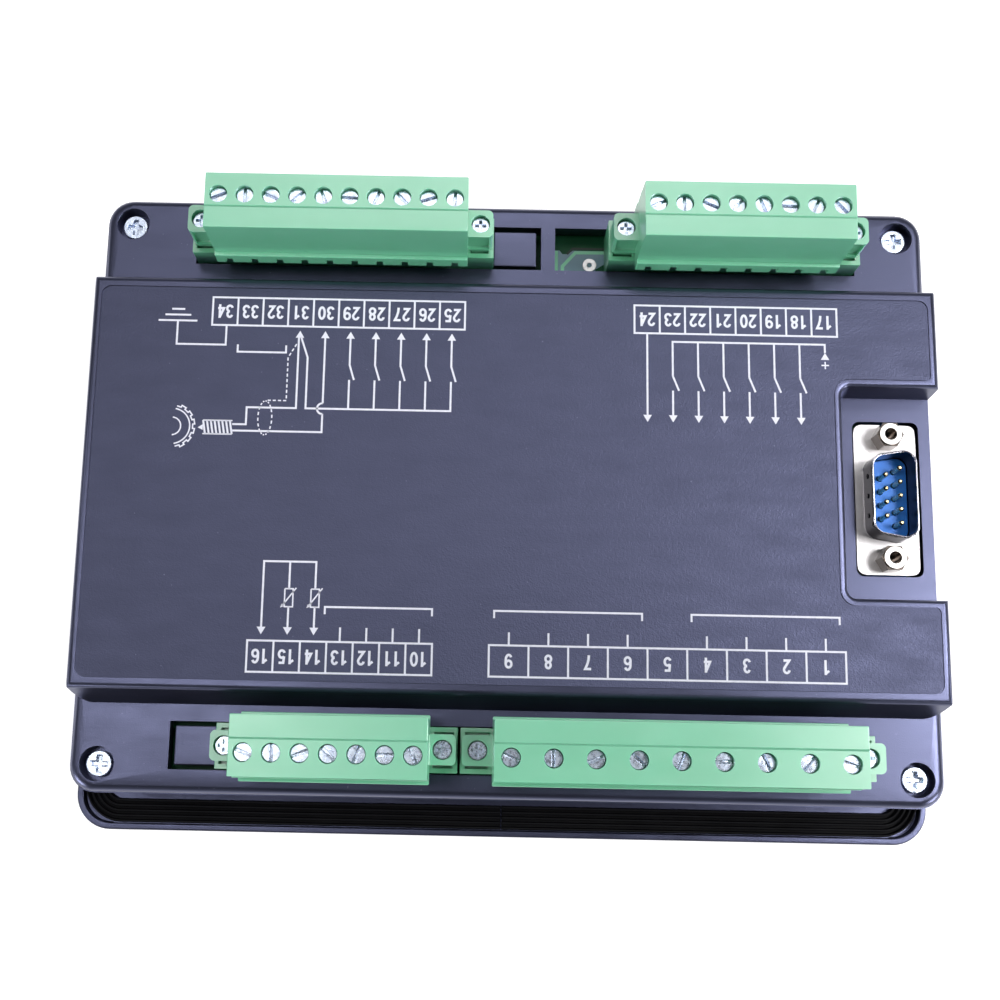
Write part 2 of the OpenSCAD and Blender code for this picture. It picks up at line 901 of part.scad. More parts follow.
// Recess for the port, open to the right, with rounded upper edges and a cut-out for the port's flange
module recess() {
    edge_steps = [0, 30, 60, 90];
    translate([recess_x + body_w / 2, 0, 0]) {
        hull() {
            slab(body_w - 2 * recess_lean, recess_h - 2 * recess_lean, recess_r, ledge_z, $fn = blend_fn);
            slab(body_w, recess_h, recess_r, plateau_z - recess_edge, $fn = blend_fn);
        }
        for (i = [1 : len(edge_steps) - 1])
            hull()
                for (a = [edge_steps[i - 1], edge_steps[i]]) {
                    grow = recess_edge * (1 - cos(a));
                    slab(body_w + 2 * grow, recess_h + 2 * grow, recess_r + grow,
                        plateau_z - recess_edge * (1 - sin(a)), $fn = blend_fn);
                }
    }
    translate([port_x, 0, ledge_under - cut])
        linear_extrude(ledge_t + 2 * cut)
            rounded(flange_w + 2 * port_floor_gap, flange_l + 2 * port_floor_gap, flange_r);
}

// Label and its shallow pocket

module label_outline(grow) {
    label_w = plateau_w - 2 * label_side + 2 * grow;
    label_h = plateau_top_h - 2 * label_edge + 2 * grow;
    notch_x = recess_x - notch_margin + grow;
    notch_h = recess_h + 2 * notch_margin - 2 * grow;
    difference() {
        rounded(label_w, label_h, label_r);
        translate([notch_x + body_w / 2, 0])
            rounded(body_w, notch_h, label_r + 1);
        for (s = [-1, 1])
            translate([label_w / 2 - notch_corner, s * (notch_h / 2 + notch_corner)])
                difference() {
                    translate([0, s > 0 ? -2 * notch_corner : 0])
                        square(2 * notch_corner);
                    circle(notch_corner);
                }
    }
}

module label_pocket() {
    translate([0, 0, plateau_z - label_t])
        linear_extrude(label_t + cut)
            label_outline(fit_gap);
}

module rear_label() {
    color(film_black)
    translate([0, 0, plateau_z - label_t])
        linear_extrude(label_t)
            label_outline(0);
}

module case_screws() {
    color(zinc)
    at_corners(screw_x, screw_y)
        difference() {
            union() {
                cylinder_between(case_head_r, case_seat, case_seat + case_head_h);
                cylinder_between(case_shank_r, screw_end, case_seat);
            }
            translate([0, 0, case_seat + case_head_h])
                cross_recess(case_recess[0], case_recess[1]);
        }
}

// Main board and what it carries

module main_board() {
    color(board_green)
    difference() {
        translate([0, 0, board_under])
            linear_extrude(board_t)
                square([board_w, board_h], center = true);
        at_corners(screw_x, screw_y)
            cylinder_between(boss_r + board_boss_gap, board_under - cut, board_top + cut);
        main_posts()
            cylinder_between(board_screw_r + slide_gap, board_under - cut, board_top + cut);
        for (b = blocks)
            on_row(b)
                for (i = [0 : poles(b) - 1])
                    translate([pole_x(b, i), 0, 0])
                        cylinder_between(pin_hole_r, board_under - cut, board_top + cut);
        for (p = port_pin_spots())
            translate([p[0], p[1], 0])
                cylinder_between(port_pin_r + slide_gap, board_under - cut, board_top + cut);
        translate([eyelet_x, eyelet_y, 0])
            cylinder_between(eyelet_barrel_r + slide_gap, board_under - cut, board_top + cut);
    }
}

module board_eyelet() {
    color(tin)
    translate([eyelet_x, eyelet_y, 0])
    difference() {
        union() {
            cylinder_between(eyelet_r, board_top, board_top + eyelet_t);
            cylinder_between(eyelet_barrel_r, board_under, board_top);
        }
        cylinder_between(eyelet_hole_r, board_under - cut, board_top + eyelet_t + cut);
    }
}

module main_board_screws() {
    color(zinc)
    main_posts()
        translate([0, 0, board_under])
            board_screw(board_t + board_screw_l - board_screw_gap);
}

module relays() {
    first_x = board_w / 2 - relay_margin - relay[0] - (relay_count - 1) * relay_pitch;
    color("#2d4f9e")
    for (i = [0 : relay_count - 1])
        translate([first_x + i * relay_pitch, board_post_y - relay_drop, board_under - relay[2]])
            cube(relay);
}

module current_transformers() {
    color("#1d1d22")
    for (i = [0 : coil_count - 1])
        translate([coil_margin - board_w / 2 + i * coil_pitch, coil_drop - board_post_y,
                board_under - coil[2]])
            difference() {
                cube(coil);
                translate([coil[0] / 2, coil[1] / 2, -cut])
                    cylinder(r = coil_hole_r, h = coil[2]);
            }
}

module capacitors() {
    color("#31415e")
    for (i = [0 : cap_count - 1])
        translate([cap_margin - board_w / 2, cap_y + i * cap_pitch, 0])
            cylinder_between(cap_r, board_under - cap_l, board_under);
}

module processor() {
    color("#1b1b1f")
    for (i = [0 : chip_count - 1])
        translate([i * chip_pitch, chip_y, board_under - chip[2]])
            cube(chip);
}

module slot_blank(lo, hi, y) {
    color(black_plastic)
    block([lo, y - blank_w / 2, board_top], [hi, y + blank_w / 2, blank_top]);
}

module input_slot_blank() {
    slot_blank(header_hi(inputs) + slide_gap, input_slot[1] - blank_gap, row_y);
}

module sensor_slot_blank() {
    slot_blank(near_slot[0] + blank_gap, header_lo(sensors) - slide_gap, -row_y);
}

// Board headers

module header(b) {
    pilot_r = shank_r + slide_gap;
    color(header_green)
    on_row(b)
    difference() {
        block([mid(b) - header_l(b) / 2, -header_w / 2, board_top],
            [mid(b) + header_l(b) / 2, header_w / 2, header_top]);
        block([mid(b) - block_l(b) / 2 + insert_end - fit_gap, -insert_w / 2 - fit_gap,
                board_top + header_floor],
            [mid(b) + block_l(b) / 2 - insert_end + fit_gap, insert_w / 2 + fit_gap, header_top + cut]);
        for (s = [-1, 1])
            translate([ear_x(b, s), 0, 0]) {
                pocket_half = ear_l(b) / 2 + header_over - header_wall;
                block([-pocket_half, -insert_w / 2 - fit_gap, header_top - ear_pocket],
                    [pocket_half, insert_w / 2 + fit_gap, header_top + cut]);
                cylinder_between(pilot_r, board_top + header_floor, header_top);
            }
        for (i = [0 : poles(b) - 1])
            translate([pole_x(b, i), 0, board_top - cut])
                linear_extrude(header_floor + 2 * cut)
                    square(pin_w + slide_gap, center = true);
    }
}

module header_pins(b) {
    color(tin)
    on_row(b)
    for (i = [0 : poles(b) - 1])
        translate([pole_x(b, i), 0, board_under - pin_tail])
            linear_extrude(pin_top - board_under + pin_tail)
                square(pin_w, center = true);
}

// Pluggable terminal blocks

module plug(b) {
    half = block_l(b) / 2;
    color(mint)
    on_row(b)
    difference() {
        union() {
            translate([mid(b) - half, 0, 0])
                rotate([90, 0, 90])
                    linear_extrude(2 * half)
                        plug_section();
            block([mid(b) - half + insert_end, -insert_w / 2, insert_bottom],
                [mid(b) + half - insert_end, insert_w / 2, skirt_bottom + cut]);
            for (s = [-1, 1])
                translate([ear_x(b, s), 0, 0])
                    plug_ear(ear_l(b), s);
        }
        for (i = [0 : poles(b) - 1])
            translate([pole_x(b, i), 0, 0])
                pole_cuts();
        for (s = [-1, 1])
            translate([ear_x(b, s), 0, 0]) {
                ear_recess(ear_l(b), s);
                cylinder_between(screw_hole_r + 0.1, ear_top - flange_sink - head_h, ear_top + cut);
                cylinder_between(shank_r + fit_gap, insert_bottom, ear_top);
            }
    }
}

// Cross-section with a skirt at the foot, a stepped outer face and a fine groove on top
module plug_section() {
    polygon([
        [-skirt_inner, skirt_bottom], [-skirt_inner, skirt_top], [-plug_inner, skirt_top],
        [-plug_inner, plug_top], [groove_y - groove_d, plug_top], [groove_y, plug_top - groove_d],
        [groove_y + groove_d, plug_top], [plug_outer, plug_top], [plug_outer, face_step_z],
        [plug_outer + face_step, face_step_z], [plug_outer + face_step, skirt_top],
        [skirt_outer, skirt_top], [skirt_outer, skirt_bottom]
    ]);
}

// A flange ear with rounded outer corners, and the foot that drops into the header's pocket
module plug_ear(l, s) {
    foot_end = l / 2 + header_over - header_wall - fit_gap;
    root = 0.5;
    intersection() {
        translate([0, 0, skirt_bottom])
            linear_extrude(ear_top - skirt_bottom)
                translate([-s * root, 0])
                    rounded(l + 2 * root, ear_w, ear_r);
        block([-l / 2 - root, -ear_w, 0], [l / 2 + root, ear_w, plug_top]);
    }
    block([-foot_end, -ear_w / 2, header_top - ear_pocket + seat_gap],
        [foot_end, ear_w / 2, skirt_bottom + root]);
}

// Shallow recess in an ear's inner side, between the plug and the ear's end wall
module ear_recess(l, s) {
    reach = l / 2 - ear_wall;
    block([min(-s * l / 2, s * reach), -ear_w / 2 - cut, skirt_bottom + ear_wall],
        [max(-s * l / 2, s * reach), -ear_w / 2 + ear_cut, ear_top - ear_roof]);
}

module pole_cuts() {
    cavity_gap = slide_gap;
    cage_out = screw_line + cage_d / 2;
    translate([0, screw_line, 0]) {
        cylinder_between(screw_hole_r, plug_top - head_sink - head_h - 1, plug_top + cut);
        cylinder_between(shank_r + fit_gap, cage_top, plug_top);
    }
    block([-cage_w / 2 - cavity_gap, screw_line - cage_d / 2 - cavity_gap, cage_bottom],
        [cage_w / 2 + cavity_gap, cage_out + cavity_gap, cage_top + cavity_gap]);
    block([-entry_w / 2, cage_out - cavity_gap, cage_bottom + cage_wall],
        [entry_w / 2, skirt_outer + cut, cage_bottom + cage_wall + entry_h]);
    block([-shaft_w / 2, -shaft_w / 2, insert_bottom - cut],
        [shaft_w / 2, shaft_w / 2, cage_bottom + cavity_gap]);
    block([-notch_w / 2, -skirt_inner - cut, skirt_bottom - cut],
        [notch_w / 2, -skirt_inner + notch_d, skirt_bottom + notch_h]);
}

// Clamp cages and the contacts that grip the header's pins
module clamps(b) {
    contact_bottom = insert_bottom + 0.5;
    contact_top = cage_bottom - 0.2;
    color(zinc)
    on_row(b)
    for (i = [0 : poles(b) - 1])
        translate([pole_x(b, i), 0, 0]) {
            translate([0, screw_line, 0])
            difference() {
                block([-cage_w / 2, -cage_d / 2, cage_bottom], [cage_w / 2, cage_d / 2, cage_top]);
                block([-cage_w / 2 + cage_wall, -cage_d, cage_bottom + cage_wall],
                    [cage_w / 2 - cage_wall, cage_d, cage_top - cage_roof]);
                cylinder_between(shank_r + slide_gap, cage_top - cage_roof - cut, cage_top + cut);
            }
            difference() {
                block([-contact_w / 2, -contact_w / 2, contact_bottom],
                    [contact_w / 2, contact_w / 2, contact_top]);
                block([-pin_w / 2 - slide_gap, -pin_w / 2 - slide_gap, contact_bottom - cut],
                    [pin_w / 2 + slide_gap, pin_w / 2 + slide_gap, pin_top + 1]);
            }
        }
}

// Slotted terminal screws, each left at an angle of its own
module terminal_screws(b) {
    head_top = plug_top - head_sink;
    screw_tip = cage_top - cage_roof - 0.3;
    turn_step = 67;
    turn_start = 23;
    color(zinc)
    on_row(b)
    for (i = [0 : poles(b) - 1])
        translate([pole_x(b, i), screw_line, 0])
        difference() {
            union() {
                cylinder_between(screw_d / 2, head_top - head_h, head_top);
                cylinder_between(shank_r, screw_tip, head_top - head_h);
            }
            rotate([0, 0, turn_start + i * turn_step])
                translate([-screw_d, -head_slot / 2, head_top - head_slot_d])
                    cube([2 * screw_d, head_slot, head_slot_d + cut]);
        }
}

module flange_screws() {
    head_top = ear_top - flange_sink;
    color(zinc)
    for (b = blocks)
        on_row(b)
            for (s = [-1, 1])
                translate([ear_x(b, s), 0, 0])
                difference() {
                    union() {
                        cylinder_between(screw_d / 2, head_top - head_h, head_top);
                        cylinder_between(shank_r, head_top - flange_screw_l, head_top - head_h);
                    }
                    translate([0, 0, head_top])
                        cross_recess(flange_recess[0], flange_recess[1]);
                }
}

// Serial port

// D-shaped outline with rounded corners, its wide side towards +X
module d_outline(l, w, r) {
    hx = w / 2 - r;
    wide = l / 2 - r;
    narrow = wide - 2 * hx * tan(shell_lean);
    step = 10;
    polygon(concat(
        [for (a = [0 : step : 90 + shell_lean]) [hx + r * cos(a), wide + r * sin(a)]],
        [for (a = [90 + shell_lean : step : 180]) [-hx + r * cos(a), narrow + r * sin(a)]],
        [for (a = [180 : step : 270 - shell_lean]) [-hx + r * cos(a), -narrow + r * sin(a)]],
        [for (a = [270 - shell_lean : step : 360]) [hx + r * cos(a), -wide + r * sin(a)]]
    ));
}

function port_pin_spots() = concat(
    [for (i = [-2 : 2]) [port_x + pin_columns / 2, i * pin_pitch]],
    [for (i = [-1.5 : 1.5]) [port_x - pin_columns / 2, i * pin_pitch]]
);

module port_shell() {
    hollow_l = shell_l - 2 * shell_t;
    hollow_w = shell_w - 2 * shell_t;
    color(tin)
    difference() {
        union() {
            translate([port_x, 0, flange_top - flange_t])
                linear_extrude(flange_t)
                    rounded(flange_w, flange_l, flange_r);
            translate([port_x, 0, flange_top - flange_t])
                linear_extrude(shell_h + flange_t)
                    d_outline(shell_l, shell_w, shell_r);
            for (i = [-1 : 1])
                translate([port_x - shell_w / 2 - dimple_out, i * dimple_pitch, flange_top + shell_h / 2])
                    rotate([0, 90, 0])
                        cylinder(r = dimple_r, h = dimple_out + shell_t / 2);
        }
        translate([port_x, 0, flange_top - flange_t - cut])
            linear_extrude(shell_h + flange_t + 2 * cut)
                d_outline(hollow_l, hollow_w, shell_r - shell_t);
        for (s = [-1, 1])
            translate([port_x, s * jack_span / 2, 0])
                cylinder_between(jack_stud_r + slide_gap, flange_top - flange_t - cut, flange_top + cut);
    }
}

module port_insulator() {
    face = 0.5;
    color(port_blue)
    difference() {
        union() {
            translate([port_x, 0, board_top])
                linear_extrude(flange_top - flange_t - board_top)
                    square([port_body_w, flange_l], center = true);
            translate([port_x, 0, board_top])
                linear_extrude(flange_top + face - board_top)
                    d_outline(shell_l - 2 * shell_t - 2 * slide_gap, shell_w - 2 * shell_t - 2 * slide_gap,
                        shell_r - shell_t);
        }
        for (p = port_pin_spots())
            translate([p[0], p[1], 0])
                cylinder_between(port_pin_r + slide_gap, board_top - cut, flange_top + face + cut);
        for (s = [-1, 1])
            translate([port_x, s * jack_span / 2, 0])
                cylinder_between(jack_stud_r + slide_gap, board_top - cut, flange_top);
    }
}

module port_pins() {
    tip = flange_top + pin_rise;
    color(brass_tone)
    for (p = port_pin_spots())
        translate([p[0], p[1], 0]) {
            cylinder_between(port_pin_r, board_under - pin_tail, tip - port_pin_r);
            translate([0, 0, tip - port_pin_r])
                cylinder(r1 = port_pin_r, r2 = port_pin_r / 2, h = port_pin_r);
        }
}

module jackscrews() {
    rim_h = 0.5;
    color(nickel)
    for (s = [-1, 1])
        translate([port_x, s * jack_span / 2, 0])
        difference() {
            union() {
                translate([0, 0, flange_top])
                    cylinder(r = jack_flats / 2 / cos(30), h = jack_h - rim_h, $fn = 6);
                cylinder_between(jack_flats / 2 - 0.2, flange_top, flange_top + jack_h);
                cylinder_between(jack_stud_r, flange_top - jack_stud_l, flange_top);
            }
            cylinder_between(jack_hole_r, flange_top + 0.3, flange_top + jack_h + cut);
        }
}

module input_header() { header(inputs); }
module output_header() { header(outputs); }
module sensor_header() { header(sensors); }
module voltage_header() { header(voltages); }
module input_pins() { header_pins(inputs); }
module output_pins() { header_pins(outputs); }
module sensor_pins() { header_pins(sensors); }
module voltage_pins() { header_pins(voltages); }
module input_plug() { plug(inputs); }
module output_plug() { plug(outputs); }
module sensor_plug() { plug(sensors); }
module voltage_plug() { plug(voltages); }
module input_clamps() { clamps(inputs); }
module output_clamps() { clamps(outputs); }
module sensor_clamps() { clamps(sensors); }
module voltage_clamps() { clamps(voltages); }
module input_screws() { terminal_screws(inputs); }
module output_screws() { terminal_screws(outputs); }
module sensor_screws() { terminal_screws(sensors); }
module voltage_screws() { terminal_screws(voltages); }

front_bezel();
panel_gasket();
front_overlay();
display_window();
lcd_glass();
lcd_frame();
display_board();
display_board_screws();
status_leds();
light_pipes();
key_switches();
key_stop();
key_manual();
key_auto();
key_test();
key_start();
key_up();
key_down();
link_socket();
link_header();
rear_housing();
rear_label();
case_screws();
main_board();
main_board_screws();
board_eyelet();
relays();
current_transformers();
capacitors();
processor();
input_slot_blank();
sensor_slot_blank();
input_header();
output_header();
sensor_header();
voltage_header();
input_pins();
output_pins();
sensor_pins();
voltage_pins();
input_plug();
output_plug();
sensor_plug();
voltage_plug();
input_clamps();
output_clamps();
sensor_clamps();
voltage_clamps();
input_screws();
output_screws();
sensor_screws();
voltage_screws();
flange_screws();
port_shell();
port_insulator();
port_pins();
jackscrews();
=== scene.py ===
"""Looks of a panel-mounted generator controller that lies face down, with its terminals up."""

import json
import math

import bmesh
import bpy
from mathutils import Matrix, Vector


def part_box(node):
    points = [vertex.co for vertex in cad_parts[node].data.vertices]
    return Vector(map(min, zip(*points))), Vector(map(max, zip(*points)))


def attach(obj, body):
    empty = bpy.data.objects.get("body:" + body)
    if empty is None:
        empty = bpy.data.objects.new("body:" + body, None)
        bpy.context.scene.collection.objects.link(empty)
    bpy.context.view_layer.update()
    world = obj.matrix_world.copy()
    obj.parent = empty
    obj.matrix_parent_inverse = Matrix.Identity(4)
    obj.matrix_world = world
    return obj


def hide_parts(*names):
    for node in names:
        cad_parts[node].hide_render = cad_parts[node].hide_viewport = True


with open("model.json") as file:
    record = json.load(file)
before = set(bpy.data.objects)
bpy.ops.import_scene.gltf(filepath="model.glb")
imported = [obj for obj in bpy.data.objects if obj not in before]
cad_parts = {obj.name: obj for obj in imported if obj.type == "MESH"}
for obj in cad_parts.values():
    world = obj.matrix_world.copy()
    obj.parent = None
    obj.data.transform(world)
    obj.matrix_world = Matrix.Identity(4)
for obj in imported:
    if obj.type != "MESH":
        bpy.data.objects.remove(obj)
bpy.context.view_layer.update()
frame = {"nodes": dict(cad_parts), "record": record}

MM = 0.001
MAIN_BODY = "controller"
SLOT_OF = {part["node"]: part["material_slot"] for part in frame["record"]["subparts"]}
BODY_OF = {node: body for body, nodes in frame["record"]["behaviour"]["bodies"].items() for node in nodes}


# Materials

def srgb(red, green, blue):
    """A screen colour, 0 to 255 a channel, as linear light."""
    levels = (red / 255, green / 255, blue / 255)
    return tuple(v / 12.92 if v <= 0.04045 else ((v + 0.055) / 1.055) ** 2.4 for v in levels)


# Height in millimetres over which one finish turns into another, and softness of a speck's edge
RISE = 0.1
SPECK_EDGE = 0.02

# Colour sockets of a mix node, which share their names with other kinds
MIX_FROM, MIX_TO, MIX_RESULT = 6, 7, 2


class Finish:
    """A node material that is built up step by step round one shader."""

    def __init__(self, name, colour, roughness, metallic=0.0):
        self.material = bpy.data.materials.new(name)
        self.material.use_nodes = True
        self.nodes = self.material.node_tree.nodes
        self.links = self.material.node_tree.links
        self.shader = self.nodes["Principled BSDF"]
        self.set("Base Color", (*colour, 1.0))
        self.set("Roughness", roughness)
        self.set("Metallic", metallic)
        self.place = self.nodes.new("ShaderNodeTexCoord").outputs["Object"]
        self.normal = None

    def set(self, socket, value):
        """Gives an input of the shader a plain value."""
        self.shader.inputs[socket].default_value = value
        return self

    def noise(self, grain, detail=2.0, stretch=(1, 1, 1)):
        """Cloudy noise with grains of about this size in millimetres, longer along a stretched axis."""
        scale = self.nodes.new("ShaderNodeMapping")
        scale.inputs["Scale"].default_value = [1 / (grain * MM * s) for s in stretch]
        texture = self.nodes.new("ShaderNodeTexNoise")
        texture.inputs["Scale"].default_value = 1.0
        texture.inputs["Detail"].default_value = detail
        self.links.new(self.place, scale.inputs["Vector"])
        self.links.new(scale.outputs["Vector"], texture.inputs["Vector"])
        return texture.outputs["Fac"]

    def spread(self, factor, low, high, start=0.3, end=0.7):
        """Maps a value, or else the middle of a noise, to the span from low to high."""
        span = self.nodes.new("ShaderNodeMapRange")
        span.inputs["From Min"].default_value = start
        span.inputs["From Max"].default_value = end
        span.inputs["To Min"].default_value = low
        span.inputs["To Max"].default_value = high
        self.links.new(factor, span.inputs["Value"])
        return span.outputs["Result"]

    def tint(self, factor, other):
        """Lets the base colour drift to another one where the noise is high."""
        return self.cover(self.spread(factor, 0, 1), other)

    def specks(self, grain, level, colour):
        """Scatters small spots of another colour where a fine noise passes a level."""
        return self.cover(self.spread(self.noise(grain, 0.0), 0, 1, level, level + SPECK_EDGE), colour)

    def cover(self, factor, colour):
        """Turns the base colour to another one by a factor."""
        base = self.shader.inputs["Base Color"]
        mix = self.nodes.new("ShaderNodeMix")
        mix.data_type = "RGBA"
        mix.inputs[MIX_FROM].default_value = base.default_value
        mix.inputs[MIX_TO].default_value = (*colour, 1.0)
        if base.links:
            self.links.new(base.links[0].from_socket, mix.inputs[MIX_FROM])
        self.links.new(factor, mix.inputs["Factor"])
        self.links.new(mix.outputs[MIX_RESULT], base)
        return self

    def rise(self, height, low=0.0, high=1.0):
        """A value that goes from low to high at a height in metres."""
        split = self.nodes.new("ShaderNodeSeparateXYZ")
        self.links.new(self.place, split.inputs["Vector"])
        return self.spread(split.outputs["Z"], low, high, height, height + RISE * MM)

    def smooth(self, factor):
        """Takes the roughness from a value."""
        self.links.new(factor, self.shader.inputs["Roughness"])
        return self

    def polish(self, factor, low, high):
        """Lets the roughness run from low to high with the noise."""
        return self.smooth(self.spread(factor, low, high))

    def bump(self, factor, depth):
        """Adds relief of this depth in millimetres."""
        bump = self.nodes.new("ShaderNodeBump")
        bump.inputs["Distance"].default_value = depth * MM
        self.links.new(factor, bump.inputs["Height"])
        if self.normal:
            self.links.new(self.normal, bump.inputs["Normal"])
        self.normal = bump.outputs["Normal"]
        self.links.new(self.normal, self.shader.inputs["Normal"])
        return self


# Millimetres: clouds of colour and patches of gloss on plastic, and stains, patches and marks on plating
CLOUD, PATCH = 9, 3
STAIN, METAL_PATCH, DRAW_MARK = 0.9, 0.6, 0.12


def moulded(name, colour, drift, roughness, grain=0.25, depth=0.01, uneven=0.06):
    """Moulded plastic: faint clouds of colour, uneven gloss and a fine grain."""
    finish = Finish(name, colour, roughness)
    finish.tint(finish.noise(CLOUD, 3), drift)
    finish.polish(finish.noise(PATCH, 3, (3, 1, 1)), roughness - uneven, roughness + uneven)
    finish.bump(finish.noise(grain, 2), depth)
    return finish


GLOSS_TINT = (0.56, 0.6, 1.0, 1.0)


def cool_gloss(finish, level):
    """A strong bluish sheen over a nearly black ground."""
    finish.set("Specular Tint", GLOSS_TINT)
    finish.set("Specular IOR Level", level)
    finish.set("IOR", 1.74)
    return finish


def black_abs():
    """Glossy black moulding with fine flow lines and a little dust."""
    finish = moulded(
        "black_abs", srgb(13, 13, 17), srgb(17, 17, 22), 0.31, grain=0.22, depth=0.014, uneven=0.03,
    )
    finish.bump(finish.noise(0.5, 2, (14, 1, 1)), 0.006)
    finish.specks(0.5, 0.86, srgb(72, 74, 86))
    return cool_gloss(finish, 1.0)


def label_film():
    """Matt film with a coarse grain and pale specks that are painted glints."""
    finish = moulded("label_film", srgb(17, 18, 24), srgb(21, 22, 29), 0.5, grain=0.3, depth=0.05)
    finish.bump(finish.noise(0.7, 3), 0.05)
    # Painted glints: pale specks scattered over the film
    finish.specks(0.5, 0.86, srgb(80, 82, 94))
    return cool_gloss(finish, 0.9)


def gasket_rubber():
    """Dull black rubber."""
    finish = moulded("gasket_rubber", srgb(9, 9, 12), srgb(14, 14, 18), 0.66, grain=0.4, depth=0.02)
    return finish.set("Specular IOR Level", 0.14)


def terminal_plastic(name, colour, drift):
    """Green plastic that light enters a little way."""
    finish = moulded(name, colour, drift, 0.31, grain=0.3, depth=0.006, uneven=0.02)
    finish.set("Subsurface Weight", 0.4)
    finish.set("Subsurface Radius", (0.6, 1.0, 0.8))
    finish.set("Subsurface Scale", 1.5 * MM)
    finish.set("Specular IOR Level", 1.0)
    finish.set("IOR", 1.76)
    return finish


def plating(name, colour, drift, roughness, depth):
    """Plated metal: faint stains and fine drawing marks."""
    finish = Finish(name, colour, roughness, metallic=1.0)
    finish.tint(finish.noise(STAIN, 3), drift)
    finish.bump(finish.noise(DRAW_MARK, 2, (5, 1, 1)), depth)
    return finish


def plated_steel(name, colour, drift, roughness, depth):
    """Plated metal with an uneven gloss."""
    finish = plating(name, colour, drift, roughness, depth)
    return finish.polish(finish.noise(METAL_PATCH, 3), roughness * 0.8, roughness * 1.3)


# Millimetres: height of the port's shell, how far the flange's finish goes up it, and the depth of the
# painted highlights at the tops of shell and jackscrews
SHELL_RISE = 6.5
SHELL_FOOT = 0.3
SHELL_HIGHLIGHT = 0.2
JACK_HIGHLIGHT = 0.15


def tin_plate():
    """Even plating on the port's flange; the shell's wall above it is smoother and painted darker as shade,
    with a painted highlight along its rim.
    """
    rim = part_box("port_shell")[1].z
    wall = rim - (SHELL_RISE - SHELL_FOOT) * MM
    finish = plating("tin_plate", srgb(217, 214, 215), srgb(209, 206, 207), 0.4, 0.0004)
    finish.set("Specular Tint", (0.72, 0.72, 0.74, 1.0))
    # Painted shade: the shell's wall is coloured dark above the flange's finish
    finish.cover(finish.rise(wall), srgb(58, 57, 61))
    # Painted highlight: a pale band along the top of the shell
    finish.cover(finish.rise(rim - SHELL_HIGHLIGHT * MM), srgb(196, 196, 206))
    return finish.smooth(finish.rise(wall, 0.4, 0.1))


def nickel_plate():
    """Smooth plating, painted dark on the jackscrews' sides as shade and pale on their tops as a painted
    highlight.
    """
    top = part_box("jackscrews")[1].z
    edge = top - JACK_HIGHLIGHT * MM
    # Painted shade: the base colour is darkened for the shaded sides of the jackscrews
    finish = plating("nickel_plate", srgb(128, 119, 113), srgb(114, 106, 100), 0.2, 0.0002)
    # Painted highlight: a pale band at the tops of the jackscrews
    finish.cover(finish.rise(edge), srgb(212, 208, 206))
    return finish.smooth(finish.rise(edge, 0.16, 0.36))


def port_blue():
    """Blue plastic with a blue sheen."""
    finish = moulded("port_blue", srgb(52, 144, 255), srgb(46, 136, 246), 0.35)
    finish.set("Specular Tint", (0.3, 0.45, 1.0, 1.0))
    finish.set("Specular IOR Level", 1.0)
    finish.set("IOR", 1.7)
    return finish


def board_laminate():
    """Board under a dull green mask."""
    finish = moulded("board_laminate", srgb(2, 62, 34), srgb(6, 78, 46), 0.5, 0.5, 0.01)
    return finish.set("Specular IOR Level", 0.2)


def clear_window():
    """Clear pane over the display."""
    finish = moulded("window_clear", srgb(225, 232, 235), srgb(215, 224, 228), 0.12, 0.6, 0.002)
    finish.set("Transmission Weight", 0.92)
    finish.set("IOR", 1.49)
    return finish


def lamp_lens():
    """Milky lens of a status lamp."""
    finish = moulded("lamp_lens", srgb(226, 234, 226), srgb(210, 222, 212), 0.25, 0.4, 0.004)
    finish.set("Transmission Weight", 0.35)
    return finish


FINISHES = {
    "black_abs": black_abs(),
    "gasket_rubber": gasket_rubber(),
    "overlay_film": moulded("overlay_film", srgb(52, 60, 76), srgb(58, 66, 82), 0.4, 0.3, 0.012),
    "label_film": label_film(),
    "window_clear": clear_window(),
    "lcd_pane": moulded("lcd_pane", srgb(150, 166, 146), srgb(140, 157, 137), 0.25, 0.8, 0.002),
    "zinc_steel": plated_steel("zinc_steel", srgb(224, 233, 248), srgb(190, 201, 223), 0.27, 0.003),
    "board_laminate": board_laminate(),
    "lamp_lens": lamp_lens(),
    "black_moulding": moulded("black_moulding", srgb(36, 36, 40), srgb(44, 44, 48), 0.45),
    "key_red": moulded("key_red", srgb(176, 34, 32), srgb(160, 28, 27), 0.42),
    "key_green": moulded("key_green", srgb(44, 136, 84), srgb(38, 122, 74), 0.42),
    "key_pale": moulded("key_pale", srgb(203, 205, 208), srgb(192, 195, 199), 0.42),
    "key_dark": moulded("key_dark", srgb(84, 88, 95), srgb(74, 78, 86), 0.42),
    "tin_plate": tin_plate(),
    "nickel_plate": nickel_plate(),
    "relay_blue": moulded("relay_blue", srgb(45, 79, 158), srgb(38, 68, 140), 0.4),
    "capacitor_sleeve": moulded("capacitor_sleeve", srgb(49, 65, 94), srgb(42, 56, 82), 0.3),
    "header_green": terminal_plastic("header_green", srgb(100, 181, 141), srgb(95, 175, 135)),
    "plug_mint": terminal_plastic("plug_mint", srgb(111, 191, 155), srgb(106, 186, 149)),
    "port_blue": port_blue(),
    "contact_gold": plated_steel("contact_gold", srgb(236, 216, 172), srgb(222, 200, 154), 0.24, 0.001),
}


def ink():
    """Pale printing ink."""
    finish = Finish("label_ink", srgb(230, 230, 242), 0.5)
    finish.tint(finish.noise(0.8, 3), srgb(218, 218, 232))
    finish.polish(finish.noise(1.2, 2), 0.42, 0.58)
    finish.bump(finish.noise(0.2, 2), 0.004)
    return finish


